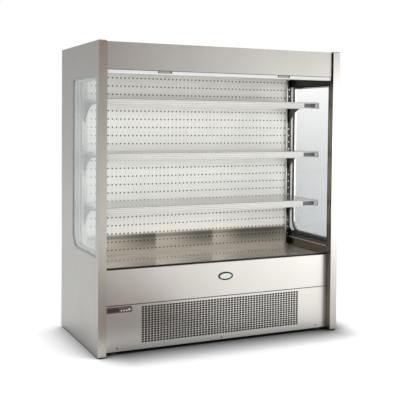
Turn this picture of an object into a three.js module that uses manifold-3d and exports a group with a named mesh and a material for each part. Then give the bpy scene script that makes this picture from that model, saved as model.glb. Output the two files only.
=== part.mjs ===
// Open multideck display fridge, standing on levelling feet. Millimetres, +Z up.
// Origin: centre of the footprint on the floor. +X is right as seen from the front, the open front faces -Y.
import * as THREE from "three";
import { mergeGeometries, mergeVertices } from "three/addons/utils/BufferGeometryUtils.js";
import Module from "manifold-3d";

const wasm = await Module();
wasm.setup();

// ---------------------------------------------------------------- driving dimensions
// A name that ends in BACK is a distance behind the front of the end panels, DROP is one below their top, and
// GAP or OFF_SIDE is one from the inner face of an end panel.
const WIDTH = 1770; // over both end panels
const DEPTH = 870; // over the end panels, front to back
const HEIGHT = 1980; // floor to the top of the end panels
const SEAT = 0.3; // gap left between two pieces that touch
const SHEET = 1.5; // folded sheet steel
const PLAY = 2; // gap beside a piece that lifts or slides
const PAST = 1; // how far a cutter reaches past the piece that it cuts

const END_THICK = 54; // end panel, skin to skin
const END_OFF_FLOOR = 6; // lower edge of the end panels
const END_CORNER = 8; // rounding of the end panels' corners, seen from the side
const POST_CORNER = 14; // rounding of the post's inner top corner, seen from the front
const POST_CORNER_OUTER = 3;
const POST_CORNER_LOW = 0.5;

const WINDOW_BACK = 50; // glass cut-out in the end panels
const WINDOW_OFF_REAR = 285;
const WINDOW_LOW = 625;
const WINDOW_DROP = 218;
const WINDOW_CORNER_SMALL = 12; // both front corners
const WINDOW_CORNER_TOP = 32; // upper rear corner
const WINDOW_CORNER_LOW = 105; // lower rear corner
const GASKET_WIDTH = 9; // rubber frame, seen from the side
const GASKET_LIP = 5; // how far the rubber grips the glass
const GASKET_INSET = 1; // rubber behind both faces of the end panel
const GLASS_THICK = 20; // sealed double pane
const GLASS_INSET = 5; // glass behind the outer skin
const LEDGE_HEIGHT = 606; // liner ledge under the window
const LEDGE_OUT = 9;
const LEDGE_THICK = 8;

const ROOF_DROP = 12;
const ROOF_THICK = 55;
const REAR_THICK = 58;
const REAR_RECESS = 8; // rear wall inside the end panels' rear edges
const REAR_LOW = 110;

const FASCIA_BACK = 15;
const FASCIA_DROP = 6;
const FASCIA_TALL = 171;
const FASCIA_RETURN = 20; // depth of the folded edges

const PANEL_BACK = 48; // face of both front panels
const PANEL_TOP = 540;
const PANEL_SPLIT = 314; // line between the upper and lower front panel
const PANEL_GAP = 2.4; // dark line at the split
const PANEL_LOW = 20;
const PANEL_RETURN = 12;

const DUCT_DEEP = 224; // air duct between the perforated back panel and the rear wall
const BACK_LOW = 500;
const BACK_RETURN = 16;
const HOLE_PITCH_X = 30; // back panel holes on the real sheet
const HOLE_PITCH_Z = 58.4;
const HOLE_SIDE = 9;
const HOLE_TOP_EDGE = 31; // top row below the panel's upper edge
const HOLE_EVERY_X = 3; // the solid holds every third column and third row
const HOLE_EVERY_Z = 3;
const HOLE_GAP = 60;
const HOLE_LOW_ROW = 560;

const UPRIGHT_WIDE = 38;
const UPRIGHT_DEEP = 26;
const UPRIGHT_THICK = 2;
const UPRIGHT_OFF_SIDE = 22;
const UPRIGHT_LOW = 545;
const UPRIGHT_TOP_EDGE = 13; // below the back panel's upper edge
const SLOT_PITCH = 50;
const SLOT_WIDE = 7;
const SLOT_HIGH = 22;
const SLOT_FIRST = 597; // lower edge of the lowest slot
const SLOT_END = 10; // solid strip left above the last slot

const SHELF_COUNT = 3;
const SLOTS_PER_SHELF = 7; // from one shelf to the next
const SHELF_OVER_SLOT = 25; // shelf top above the lower edge of the slot that it hooks into
const TOP_SHELF_DROP = 340; // the top shelf takes the last slot that keeps it at least this low
const SHELF_BACK = 147;
const SHELF_GAP = 18;
const SHELF_REAR_PLAY = 3; // behind the shelf, to the uprights
const SHELF_LIP_FRONT = 42;
const SHELF_LIP_TURN = 10; // the front lip's inward fold
const SHELF_LIP_REAR = 20;
const SHELF_LIP_SIDE = 18;
const RAIL_HIGH = 46; // ticket rail
const RAIL_DEEP = 11;
const RAIL_SHORT = 6; // rail inside the shelf's ends
const RAIL_PROUD = 2; // rail above the shelf, depth of its grooves and its lower lip
const RAIL_EDGE = 4; // bevel of its upper edge
const RAIL_GROOVES = 3;
const BRACKET_THICK = 3;
const BRACKET_ARM = 26; // depth of the arm at its nose
const BRACKET_NOSE = 31.4; // the arm's nose behind the shelf's front
const BRACKET_NOSE_CUT = 6; // bevels of the nose
const BRACKET_NOSE_LOW_CUT = 8;
const GUSSET_REACH = 195; // where the gusset meets the arm, from the upright
const GUSSET_DEEP = 20; // how far the curve's middle hangs under the arm
const GUSSET_FOOT = 14; // depth of its lower end
const GUSSET_LOW = 150; // lower end of the gusset under the shelf
const HOOK_HIGH = 12;
const HOOK_DROP = 6;
const HOOK_THICK = 5;
const HOOK_ROOT = 6; // overlap of a hook and the plate
const HOOK_SLOTS = [0, 2]; // a bracket hooks into the shelf's own slot and the second one below

const DECK_TOP = 537;
const DECK_BACK = 100;
const DECK_LIP = 8; // raised front edge
const DECK_LIP_DEEP = 7;
const DECK_LIP_SLOPE = 4;
const TRAY_COUNT = 4;
const TRAY_SIDE = 16;
const FOLD_ROOM = 0.5; // folded flanges stay this far inside the sheet that they join
const FINGER_HOLES = [0.866, 0.826, 0.526, 0.187]; // across each tray, as a share of its width
const FINGER_HOLE_OFF_BACK = 160; // in front of the back panel
const FINGER_HOLE_R = 11;

const STRIP_TOP = 508; // return air strip
const STRIP_UNDER_TRAY = 12;
const STRIP_FOLD = 22;
const STRIP_RIB = 20;
const STRIP_SLOT_WIDE = 14;
const STRIP_SLOTS = 12;

const WELL_FLOOR_TOP = 372;
const WELL_WALL = 18;
const WELL_FLOOR_THICK = 42;
const WELL_FRONT_TOP = 506;
const WELL_CORNER = 30;
const DRAIN_R = 14;
const DRAIN_WALL = 4;
const DRAIN_LONG = 40;

const FAN_PLATE_FORWARD = 55; // fan plate in front of the back panel
const FAN_PLATE_FLANGE = 20;
const EVAP_FAN_OFF_SIDE = 421;
const EVAP_FAN_R = 60;
const FAN_HUB_R = 20;
const FAN_HUB_LONG = 22;
const FAN_BLADES = 5;
const BLADE_PITCH = 28; // degrees
const BLADE_THICK = 2.4;
const BLADE_CHORD = 34;
const FAN_TIP_PLAY = 6;
const MOTOR_R = 24;
const MOTOR_LONG = 34;
const SHAFT_R = 4;
const SHAFT_LONG = 12;
const SHAFT_PLAY = 0.4;
const STRUT_WIDE = 10;
const STRUT_ROOT = 4; // overlap of a strut and the plate
const STRUT_COUNT = 3;

const COIL_GAP = 91;
const COIL_OFF_REAR = 20; // coil in front of the rear wall
const COIL_DEEP = 150;
const COIL_HIGH = 190;
const COIL_FIN_GAPS = 22;
const COIL_FIN_GAP = 12;
const COIL_FIN_CUT = 60; // depth of the fin gaps

const COMPRESSOR_OFF_SIDE = 311;
const COMPRESSOR_OFF_REAR = 375;
const COMPRESSOR_R = 95;
const COMPRESSOR_HIGH = 190;
const COMPRESSOR_FOOT = [250, 76]; // foot plate
const COMPRESSOR_FOOT_Z = [12, 22];
const RUBBER_FOOT = [22, 20]; // four rubber feet
const RUBBER_FOOT_IN = [14, 12]; // their centres inside the plate's edges
// The can's profile: radius as a share of its radius, height as a share of its height.
const CAN_PROFILE = [
  [0, 0.07],
  [0.72, 0.095],
  [0.94, 0.22],
  [1, 0.325],
  [1, 0.505],
  [1.05, 0.516],
  [1.05, 0.558],
  [1, 0.568],
  [1, 0.737],
  [0.86, 0.905],
  [0.5, 1],
  [0, 1],
];
const CONDENSER_OFF_SIDE = 581;
const CONDENSER_WIDE = 420;
const CONDENSER_DEEP = 66;
const CONDENSER_HIGH = 205;
const CONDENSER_BACK = 95;
const CONDENSER_GAPS = 12;
const CONDENSER_GAP = 14;
const CONDENSER_CUT = 22;
const CONDENSER_SHROUD = 70; // fan plate behind the finned block
const CONDENSER_FAN_R = 88;

const FRAME_LOW = 34; // base frame
const FRAME_HIGH = 78;
const FRAME_BAR = 40;
const FRAME_OFF_REAR = 35;
const FRAME_PAN = 4; // machine pan on top of the frame
const CROSS_BAR_OFF_SIDE = 571;
const FOOT_OFF_SIDE = 61;
const FOOT_R = 24;
const FOOT_PAD_HIGH = 12;
const FOOT_BEVEL = [5, 4];
const FOOT_STUD_R = 7;
const FOOT_STUD_IN = 26; // stud inside the frame
const FOOT_NUT_R = 12.6;
const FOOT_NUT_HIGH = 8;
const STUD_PLAY = 0.7;

const BLIND_BAR_BACK = 20;
const BLIND_BAR_HIGH = 27;
const BLIND_BAR_DEEP = 22;
const BLIND_BAR_GAP = 6;
const BLIND_BAR_CORNER = 5;
const BLIND_GRIP_OFF_SIDE = 391;
const BLIND_GRIP_WIDE = 96;
const BLIND_GRIP_DEEP = 9;
const BLIND_GRIP_INSET = 1; // grip behind the bar's face
const BLIND_GRIP_EDGE = 3; // rim above and below the scoop
const BLIND_GRIP_LIP = 9; // bar height that stays under the grip's recess
const BLIND_ROLL_R = 24; // roller with the fabric wound on it
const BLIND_ROLL_RISE = 53; // roller's axis above the fascia's lower edge
const BLIND_PIN_R = 6;
const BLIND_PIN_LONG = 9;
const BLIND_FABRIC = 1;
const BLIND_FABRIC_SHORT = 4; // fabric inside the roller's ends
const CASSETTE_GAP = 16;
const CASSETTE_PLATE = 3;
const CASSETTE_LIP = 30; // front edge of the hood
const CASSETTE_CLEAR = 8; // hood above the fascia's lower fold
const CASSETTE_UNDER_ROLL = 10; // end plate below the roller

const LIGHT_GAP = 111;
const LIGHT_BACK = 117;
const LIGHT_DEEP = 26;
const LIGHT_HIGH = 16;
const LIGHT_CORNER = 9;
const OUTLET_BACK = 143;
const OUTLET_DEEP = 84;
const OUTLET_GAP = 31;
const OUTLET_HIGH = 22;
const OUTLET_CELLS = 20;
const OUTLET_RIB = 3;
const OUTLET_FLANGE = 8;
const LINER_RISE = 12; // liner above the fascia's lower edge
const LINER_BACK = 99;
const LINER_OVER_BACK = 2; // liner above the back panel

const GRILLE_GAP_LEFT = 261; // punched field in the lower front panel
const GRILLE_GAP_RIGHT = 247;
const GRILLE_LOW = 66;
const GRILLE_HIGH = 290;
const GRILLE_COLUMNS = 13;
const GRILLE_ROWS = 8;
const GRILLE_HOLE_HIGH = 13;
const GRILLE_BAR = 30; // sheet left between two holes of a row

const BADGE_X = 21;
const BADGE_Z = 446;
const BADGE_WIDE = 107;
const BADGE_HIGH = 55;
const BADGE_RIM = 5;
const BADGE_SUNK = 2; // middle behind the rim
const BADGE_THICK = 5;

const CONTROL_GAP = 15; // controller in the lower front panel
const CONTROL_WIDE = 171;
const CONTROL_LOW = 267;
const CONTROL_HIGH = 38;
const CONTROL_CORNER = 3;
const CONTROL_FLANGE = 4;
const CONTROL_PROUD = 3;
const CONTROL_DEEP = 40;
const CONTROL_DISPLAY = [8, 84]; // display window from the left edge
const CONTROL_DISPLAY_EDGE = 7; // above and below it
const CONTROL_DISPLAY_SUNK = 1.2;
const BUTTON_PITCH = 17.5;
const BUTTON_FIRST = 100; // first button from the controller's left edge
const BUTTON_R = 4.6;
const BUTTON_PROUD = 2;
const BUTTON_LONG = 8;
const BUTTON_BEVEL = 1;
const BUTTON_Z = 13; // above the controller's lower edge
const ROUND_BUTTON_R = 6.4;
const ROUND_BUTTON_Z = 17;
const BUTTON_PLAY = 0.4;
const BUTTON_TRAVEL = 1.2;

const GLAND_OFF_SIDE = 141;
const GLAND_Z = 175;
const GLAND_R = 14;
const GLAND_TAPER = 3;
const GLAND_FLANGE = [4, 3]; // how far it stands out, and its thickness
const GLAND_BORE = 5;
const GLAND_SHORT = 1; // gland inside the end panels' rear edges

// ---------------------------------------------------------------- derived places
const HALF = WIDTH / 2;
const FRONT = -DEPTH / 2;
const REAR = DEPTH / 2;
const INNER = HALF - END_THICK; // inner face of the end panels
const FIT = INNER - PLAY; // half width of what stands between them

const WINDOW_FRONT = FRONT + WINDOW_BACK;
const WINDOW_REAR = REAR - WINDOW_OFF_REAR;
const WINDOW_HIGH = HEIGHT - WINDOW_DROP;
const ROOF_TOP = HEIGHT - ROOF_DROP;
const ROOF_LOW = ROOF_TOP - ROOF_THICK;
const REAR_FACE = REAR - REAR_RECESS - REAR_THICK; // inner face of the rear wall
const FASCIA_FRONT = FRONT + FASCIA_BACK;
const FASCIA_HIGH = HEIGHT - FASCIA_DROP;
const FASCIA_LOW = FASCIA_HIGH - FASCIA_TALL;
const PANEL_FRONT = FRONT + PANEL_BACK;
const BACK_FACE = REAR_FACE - DUCT_DEEP; // perforated back panel
const LINER_Z = FASCIA_LOW + LINER_RISE;
const LINER_FRONT = FRONT + LINER_BACK;
const BACK_TOP = LINER_Z - LINER_OVER_BACK;
const HOLE_TOP_ROW = BACK_TOP - HOLE_TOP_EDGE;

const UPRIGHT_CENTRE = INNER - UPRIGHT_OFF_SIDE; // from the middle of the fridge
const UPRIGHT_FRONT = BACK_FACE - SEAT - UPRIGHT_DEEP;
const UPRIGHT_TOP = BACK_TOP - UPRIGHT_TOP_EDGE;
const TOP_SHELF_SLOT = Math.floor((HEIGHT - TOP_SHELF_DROP - SHELF_OVER_SLOT - SLOT_FIRST) / SLOT_PITCH);
const SHELF_TOPS = Array.from({ length: SHELF_COUNT }, (_, i) => {
  const slot = TOP_SHELF_SLOT - (SHELF_COUNT - 1 - i) * SLOTS_PER_SHELF;
  return SLOT_FIRST + slot * SLOT_PITCH + SHELF_OVER_SLOT;
});
const SHELF_FRONT = FRONT + SHELF_BACK;
const SHELF_HALF = INNER - SHELF_GAP;
const SHELF_REAR = UPRIGHT_FRONT - SHELF_REAR_PLAY;
const RAIL_HALF = SHELF_HALF - RAIL_SHORT;

const DECK_FRONT = FRONT + DECK_BACK;
const TRAY_WIDE = (2 * FIT) / TRAY_COUNT;
const WELL_FRONT = PANEL_FRONT + PANEL_RETURN + SEAT;
const FAN_PLATE_Y = BACK_FACE - FAN_PLATE_FORWARD;
const FAN_Z = (WELL_FLOOR_TOP + DECK_TOP) / 2;
const EVAP_FAN_X = [EVAP_FAN_OFF_SIDE - INNER, INNER - EVAP_FAN_OFF_SIDE];
const COIL_HALF = INNER - COIL_GAP;
const COIL_REAR = REAR_FACE - COIL_OFF_REAR;

const FRAME_FRONT = WELL_FRONT;
const FRAME_REAR = REAR - FRAME_OFF_REAR;
const CROSS_BAR_X = INNER - CROSS_BAR_OFF_SIDE;
const FOOT_X = INNER - FOOT_OFF_SIDE;
const MACHINE_FLOOR = FRAME_HIGH + FRAME_PAN + SEAT;
const COMPRESSOR_X = COMPRESSOR_OFF_SIDE - INNER;
const COMPRESSOR_Y = REAR - COMPRESSOR_OFF_REAR;
const CONDENSER_X = INNER - CONDENSER_OFF_SIDE;
const CONDENSER_FRONT = FRONT + CONDENSER_BACK;
const CONDENSER_REAR = CONDENSER_FRONT + CONDENSER_DEEP;
const CONDENSER_FAN_Y = CONDENSER_REAR + CONDENSER_SHROUD;
const CONDENSER_FAN_Z = MACHINE_FLOOR + CONDENSER_HIGH / 2;

const BLIND_BAR_FRONT = FRONT + BLIND_BAR_BACK;
const BLIND_BAR_LOW = FASCIA_LOW - BLIND_BAR_HIGH;
const BLIND_BAR_HALF = INNER - BLIND_BAR_GAP;
const BLIND_GRIP_X = INNER - BLIND_GRIP_OFF_SIDE;
const CASSETTE_HALF = INNER - CASSETTE_GAP;
const BLIND_ROLL_HALF = CASSETTE_HALF - BLIND_PIN_LONG;
const BLIND_ROLL_Z = FASCIA_LOW + BLIND_ROLL_RISE;
const ROLL_Y = BLIND_BAR_FRONT + BLIND_BAR_DEEP - BLIND_FABRIC + BLIND_ROLL_R;
const FABRIC_Y = ROLL_Y - BLIND_ROLL_R - BLIND_FABRIC;

const LIGHT_HALF = INNER - LIGHT_GAP;
const LIGHT_Y = FRONT + LIGHT_BACK;
const OUTLET_FRONT = FRONT + OUTLET_BACK;
const OUTLET_HALF = INNER - OUTLET_GAP;
const GRILLE_LEFT = GRILLE_GAP_LEFT - INNER;
const GRILLE_RIGHT = INNER - GRILLE_GAP_RIGHT;
const CONTROL_LEFT = CONTROL_GAP - INNER;
const CONTROL_X = [CONTROL_LEFT, CONTROL_LEFT + CONTROL_WIDE];
const CONTROL_Z = [CONTROL_LOW, CONTROL_LOW + CONTROL_HIGH];
const GLAND_X = INNER - GLAND_OFF_SIDE;

// ---------------------------------------------------------------- solids
const root = new THREE.Group();

function toSolid(geometry) {
  const bare = geometry.index ? geometry.toNonIndexed() : geometry.clone();
  bare.deleteAttribute("normal");
  bare.deleteAttribute("uv");
  const merged = mergeVertices(bare, 1e-4);
  return new wasm.Manifold(
    new wasm.Mesh({
      numProp: 3,
      vertProperties: new Float32Array(merged.attributes.position.array),
      triVerts: new Uint32Array(merged.index.array),
    }),
  );
}

function toGeometry(solid) {
  const mesh = solid.getMesh();
  const geometry = new THREE.BufferGeometry();
  geometry.setAttribute("position", new THREE.BufferAttribute(mesh.vertProperties, 3));
  geometry.setIndex(new THREE.BufferAttribute(mesh.triVerts, 1));
  return geometry;
}

function join(first, ...others) {
  return toGeometry(others.reduce((sum, next) => sum.add(toSolid(next)), toSolid(first)));
}

function cut(first, ...others) {
  return toGeometry(others.reduce((rest, next) => rest.subtract(toSolid(next)), toSolid(first)));
}

// Holes that don't touch each other, all cut at once.
function punch(first, cutters) {
  return cut(first, mergeGeometries(cutters));
}

function common(first, second) {
  return toGeometry(toSolid(first).intersect(toSolid(second)));
}

// A block between two values on each axis.
function block([x0, x1], [y0, y1], [z0, z1]) {
  const box = new THREE.BoxGeometry(x1 - x0, y1 - y0, z1 - z0);
  return box.translate((x0 + x1) / 2, (y0 + y1) / 2, (z0 + z1) / 2);
}

function extrude(shape, length, segments = 6) {
  return new THREE.ExtrudeGeometry(shape, { depth: length, bevelEnabled: false, curveSegments: segments });
}

// A section drawn in (y, z) and drawn out along X.
function alongX(shape, x0, x1, segments) {
  const turn = new THREE.Matrix4().makeBasis(
    new THREE.Vector3(0, 1, 0),
    new THREE.Vector3(0, 0, 1),
    new THREE.Vector3(1, 0, 0),
  );
  return extrude(shape, x1 - x0, segments).applyMatrix4(turn).translate(x0, 0, 0);
}

// A section drawn in (x, z) and drawn out along Y.
function alongY(shape, y0, y1, segments) {
  return extrude(shape, y1 - y0, segments).rotateX(Math.PI / 2).translate(0, y1, 0);
}

// A section drawn in (x, y) and drawn out along Z.
function alongZ(shape, z0, z1, segments) {
  return extrude(shape, z1 - z0, segments).translate(0, 0, z0);
}

// A rectangle with its own radius at each corner: low-left, low-right, high-right, high-left.
// Shapes that nest share the radii that set their steps.
function roundedRect([u0, u1], [v0, v1], radii, Kind = THREE.Shape, stepRadii = radii) {
  const [a, b, c, d] = Array.isArray(radii) ? radii : [radii, radii, radii, radii];
  const quarter = (u, v, r, turn) => {
    const stepRadius = Array.isArray(stepRadii) ? stepRadii[(turn + 2) % 4] : stepRadii;
    const steps = Math.min(Math.ceil(stepRadius / 14) + 1, 8);
    return Array.from({ length: steps + 1 }, (_, i) => {
      const angle = ((turn + i / steps) * Math.PI) / 2;
      return new THREE.Vector2(u + r * Math.cos(angle), v + r * Math.sin(angle));
    });
  };
  return new Kind([
    ...quarter(u0 + a, v0 + a, a, 2),
    ...quarter(u1 - b, v0 + b, b, 3),
    ...quarter(u1 - c, v1 - c, c, 0),
    ...quarter(u0 + d, v1 - d, d, 1),
  ]);
}

function rect([u0, u1], [v0, v1], Kind = THREE.Shape) {
  const shape = new Kind();
  shape.moveTo(u0, v0);
  shape.lineTo(u1, v0);
  shape.lineTo(u1, v1);
  shape.lineTo(u0, v1);
  shape.closePath();
  return shape;
}

// The section of a folded sheet: a line of corners given the sheet's thickness on its left side.
function folded(corners) {
  const points = corners.map(([u, v]) => new THREE.Vector2(u, v));
  const normals = points.slice(1).map((p, i) => {
    const along = p.clone().sub(points[i]).normalize();
    return new THREE.Vector2(-along.y, along.x);
  });
  const offset = points.map((p, i) => {
    const before = normals[Math.max(i - 1, 0)];
    const after = normals[Math.min(i, normals.length - 1)];
    const mitre = before.clone().add(after);
    return p.clone().addScaledVector(mitre, (2 * SHEET) / mitre.lengthSq());
  });
  return new THREE.Shape([...points, ...offset.reverse()]);
}

// A closed profile turned about the Z axis, from the axis out and back to it.
function turned(profile, segments) {
  const points = profile.map(([r, z]) => new THREE.Vector2(r, z));
  return new THREE.LatheGeometry(points, segments).rotateX(Math.PI / 2);
}

function cylinderY(r, y0, y1, segments) {
  return new THREE.CylinderGeometry(r, r, y1 - y0, segments).translate(0, (y0 + y1) / 2, 0);
}

const STEEL = { color: 0xb4b2ad, roughness: 0.34, metalness: 0.95 };
const BRIGHT = { color: 0xd9d9d5, roughness: 0.2, metalness: 0.95 };
const GALVANISED = { color: 0x9da0a1, roughness: 0.5, metalness: 0.85 };
const WHITE = { color: 0xe9e8e3, roughness: 0.45, metalness: 0 };
const BLACK = { color: 0x1c1c1c, roughness: 0.6, metalness: 0 };
const GREY = { color: 0x8b8780, roughness: 0.55, metalness: 0 };

function add(name, geometry, finish) {
  const mesh = new THREE.Mesh(geometry, new THREE.MeshStandardMaterial(finish));
  mesh.name = name;
  mesh.geometry.computeVertexNormals();
  root.add(mesh);
}

const SIDES = [["left", -1], ["right", 1]];

// ---------------------------------------------------------------- carcass
function windowShape(shrink, Kind) {
  const radii = [WINDOW_CORNER_SMALL, WINDOW_CORNER_LOW, WINDOW_CORNER_TOP, WINDOW_CORNER_SMALL];
  return roundedRect(
    [WINDOW_FRONT + shrink, WINDOW_REAR - shrink],
    [WINDOW_LOW + shrink, WINDOW_HIGH - shrink],
    radii.map((r) => Math.max(r - shrink, SHEET)),
    Kind,
    radii,
  );
}

// Left-hand pieces; the right-hand ones are made at the mirrored x.
function endPanel(side) {
  const outline = roundedRect([FRONT, REAR], [END_OFF_FLOOR, HEIGHT], END_CORNER);
  outline.holes.push(windowShape(0, THREE.Path));
  const [x0, x1] = side < 0 ? [-HALF, -INNER] : [INNER, HALF];
  const slab = alongX(outline, x0, x1, 5);
  const upper = side < 0 ? [POST_CORNER, POST_CORNER_OUTER] : [POST_CORNER_OUTER, POST_CORNER];
  const corners = [POST_CORNER_LOW, POST_CORNER_LOW, ...upper];
  const face = roundedRect([x0, x1], [END_OFF_FLOOR, HEIGHT], corners);
  const frontView = alongY(face, FRONT - PAST, REAR + PAST, 4);
  const ledgeX = [side * (INNER - LEDGE_OUT), side * (INNER + PAST)];
  const ledge = block(
    [Math.min(...ledgeX), Math.max(...ledgeX)],
    [WINDOW_FRONT, UPRIGHT_FRONT - SEAT],
    [LEDGE_HEIGHT - LEDGE_THICK, LEDGE_HEIGHT],
  );
  return join(common(slab, frontView), ledge);
}

function windowPane(side, grow = 0) {
  const outline = windowShape(GASKET_WIDTH - GASKET_LIP - grow);
  const outer = HALF - GLASS_INSET + grow;
  const inner = outer - GLASS_THICK - 2 * grow;
  return alongX(outline, Math.min(side * inner, side * outer), Math.max(side * inner, side * outer), 5);
}

function gasket(side) {
  const ring = windowShape(SEAT);
  ring.holes.push(windowShape(GASKET_WIDTH, THREE.Path));
  const x = [side * (INNER + GASKET_INSET), side * (HALF - GASKET_INSET)];
  return cut(alongX(ring, Math.min(...x), Math.max(...x), 5), windowPane(side, SEAT));
}

for (const [name, side] of SIDES) {
  add("end_panel_" + name, endPanel(side), STEEL);
  add("window_gasket_" + name, gasket(side), BLACK);
  add("window_glass_" + name, windowPane(side), {
    color: 0xcfd8da,
    roughness: 0.04,
    metalness: 0,
    transparent: true,
    opacity: 0.35,
  });
}

const SEATED = [-INNER + SEAT, INNER - SEAT]; // from one end panel to the other
add("rear_wall", block(SEATED, [REAR_FACE, REAR_FACE + REAR_THICK], [REAR_LOW, ROOF_TOP]), STEEL);
const ROOF_Y = [FASCIA_FRONT + FASCIA_RETURN + SEAT, REAR_FACE - SEAT];
add("roof_panel", block(SEATED, ROOF_Y, [ROOF_LOW, ROOF_TOP]), STEEL);

// ---------------------------------------------------------------- canopy
// A pan of folded sheet, open at the back: a face with a rim all round.
function pan(x, y0, z, rim) {
  const inside = ([low, high]) => [low + SHEET, high - SHEET];
  return cut(block(x, [y0, y0 + rim], z), block(inside(x), [y0 + SHEET, y0 + rim + PAST], inside(z)));
}

add("fascia", pan([-FIT, FIT], FASCIA_FRONT, [FASCIA_LOW, FASCIA_HIGH], FASCIA_RETURN), STEEL);

function canopyLiner() {
  const rear = BACK_FACE - SEAT;
  const section = folded([[LINER_FRONT, ROOF_LOW - SEAT], [LINER_FRONT, LINER_Z], [rear, LINER_Z]]);
  const opening = block(
    [-OUTLET_HALF - SEAT, OUTLET_HALF + SEAT],
    [OUTLET_FRONT - SEAT, OUTLET_FRONT + OUTLET_DEEP + SEAT],
    [LINER_Z - SHEET - PAST, LINER_Z + SHEET + PAST],
  );
  return cut(alongX(section, -FIT, FIT), opening);
}
add("canopy_liner", canopyLiner(), WHITE);

function airOutlet() {
  const y = [OUTLET_FRONT, OUTLET_FRONT + OUTLET_DEEP];
  const low = LINER_Z - SEAT - SHEET;
  const body = block([-OUTLET_HALF, OUTLET_HALF], y, [low, low + OUTLET_HIGH]);
  const flange = block(
    [-OUTLET_HALF - OUTLET_FLANGE, OUTLET_HALF + OUTLET_FLANGE],
    [y[0] - OUTLET_FLANGE, y[1] + OUTLET_FLANGE],
    [low, low + SHEET],
  );
  const cell = (2 * OUTLET_HALF - OUTLET_RIB) / OUTLET_CELLS;
  const cells = Array.from({ length: OUTLET_CELLS }, (_, i) => {
    const x0 = -OUTLET_HALF + OUTLET_RIB + i * cell;
    const through = [low - PAST, low + OUTLET_HIGH + PAST];
    return block([x0, x0 + cell - OUTLET_RIB], [y[0] + OUTLET_RIB, y[1] - OUTLET_RIB], through);
  });
  return punch(join(body, flange), cells);
}
add("air_outlet", airOutlet(), GREY);

function canopyLight() {
  const y = [LIGHT_Y - LIGHT_DEEP / 2, LIGHT_Y + LIGHT_DEEP / 2];
  const top = LINER_Z - SEAT;
  const corners = [LIGHT_CORNER, LIGHT_CORNER, SHEET, SHEET];
  return alongX(roundedRect(y, [top - LIGHT_HIGH, top], corners), -LIGHT_HALF, LIGHT_HALF, 4);
}
add("canopy_light", canopyLight(), WHITE);

// ---------------------------------------------------------------- night blind
function blindCassette() {
  const y = [FASCIA_FRONT + FASCIA_RETURN + SEAT, LINER_FRONT - SEAT];
  const low = FASCIA_LOW + SHEET + SEAT;
  const high = ROOF_LOW - SEAT;
  const section = folded([
    [y[1] - SHEET, low + CASSETTE_CLEAR],
    [y[1] - SHEET, high],
    [y[0], high],
    [y[0], high - CASSETTE_LIP],
  ]);
  const hood = alongX(section, -CASSETTE_HALF, CASSETTE_HALF);
  const plate = rect([y[0], y[1]], [BLIND_ROLL_Z - BLIND_ROLL_R - CASSETTE_UNDER_ROLL, high]);
  const bore = new THREE.Path();
  bore.absarc(ROLL_Y, BLIND_ROLL_Z, BLIND_PIN_R + SEAT, 0, Math.PI * 2);
  plate.holes.push(bore);
  return join(
    hood,
    alongX(plate, -CASSETTE_HALF, -CASSETTE_HALF + CASSETTE_PLATE),
    alongX(plate, CASSETTE_HALF - CASSETTE_PLATE, CASSETTE_HALF),
  );
}
add("blind_cassette", blindCassette(), GALVANISED);

function blindRoller() {
  const end = CASSETTE_HALF - SEAT;
  const profile = [
    [0, -end],
    [BLIND_PIN_R, -end],
    [BLIND_PIN_R, -BLIND_ROLL_HALF],
    [BLIND_ROLL_R, -BLIND_ROLL_HALF],
    [BLIND_ROLL_R, BLIND_ROLL_HALF],
    [BLIND_PIN_R, BLIND_ROLL_HALF],
    [BLIND_PIN_R, end],
    [0, end],
  ];
  return turned(profile, 16).rotateY(Math.PI / 2).translate(0, ROLL_Y, BLIND_ROLL_Z);
}
add("blind_roller", blindRoller(), WHITE);

function blindBar() {
  const y0 = BLIND_BAR_FRONT;
  const y1 = BLIND_BAR_FRONT + BLIND_BAR_DEEP;
  const high = FASCIA_LOW - SEAT;
  const corners = [BLIND_BAR_CORNER, BLIND_BAR_CORNER, SHEET, SHEET];
  const section = roundedRect([y0, y1], [BLIND_BAR_LOW, high], corners);
  const bar = alongX(section, -BLIND_BAR_HALF, BLIND_BAR_HALF, 3);
  const halfRecess = BLIND_GRIP_WIDE / 2 + SEAT;
  const recesses = [-BLIND_GRIP_X, BLIND_GRIP_X].map((x) =>
    block(
      [x - halfRecess, x + halfRecess],
      [y0 - PAST, y0 + BLIND_GRIP_DEEP],
      [BLIND_BAR_LOW + BLIND_GRIP_LIP, high + PAST],
    ),
  );
  return cut(bar, ...recesses);
}
add("blind_bar", blindBar(), WHITE);

// A scooped finger grip that fills the recess in the bar.
function blindGrip(side) {
  const y0 = BLIND_BAR_FRONT + BLIND_GRIP_INSET;
  const y1 = BLIND_BAR_FRONT + BLIND_GRIP_DEEP - SEAT;
  const z0 = BLIND_BAR_LOW + BLIND_GRIP_LIP + SEAT;
  const z1 = FASCIA_LOW - SEAT - BLIND_GRIP_INSET;
  const section = new THREE.Shape();
  section.moveTo(y0, z0);
  section.lineTo(y1, z0);
  section.lineTo(y1, z1);
  section.lineTo(y0, z1);
  section.lineTo(y0, z1 - BLIND_GRIP_EDGE);
  section.quadraticCurveTo(y1, (z0 + z1) / 2, y0, z0 + BLIND_GRIP_EDGE);
  section.closePath();
  const x = side * BLIND_GRIP_X;
  return alongX(section, x - BLIND_GRIP_WIDE / 2, x + BLIND_GRIP_WIDE / 2, 5);
}
for (const [name, side] of SIDES) add("blind_grip_" + name, blindGrip(side), GREY);

const FABRIC_HALF = BLIND_ROLL_HALF - BLIND_FABRIC_SHORT;
const FABRIC_THICK = [FABRIC_Y, FABRIC_Y + BLIND_FABRIC - SEAT];
add("blind_fabric", block([-FABRIC_HALF, FABRIC_HALF], FABRIC_THICK, [FASCIA_LOW, BLIND_ROLL_Z]), WHITE);

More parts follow.
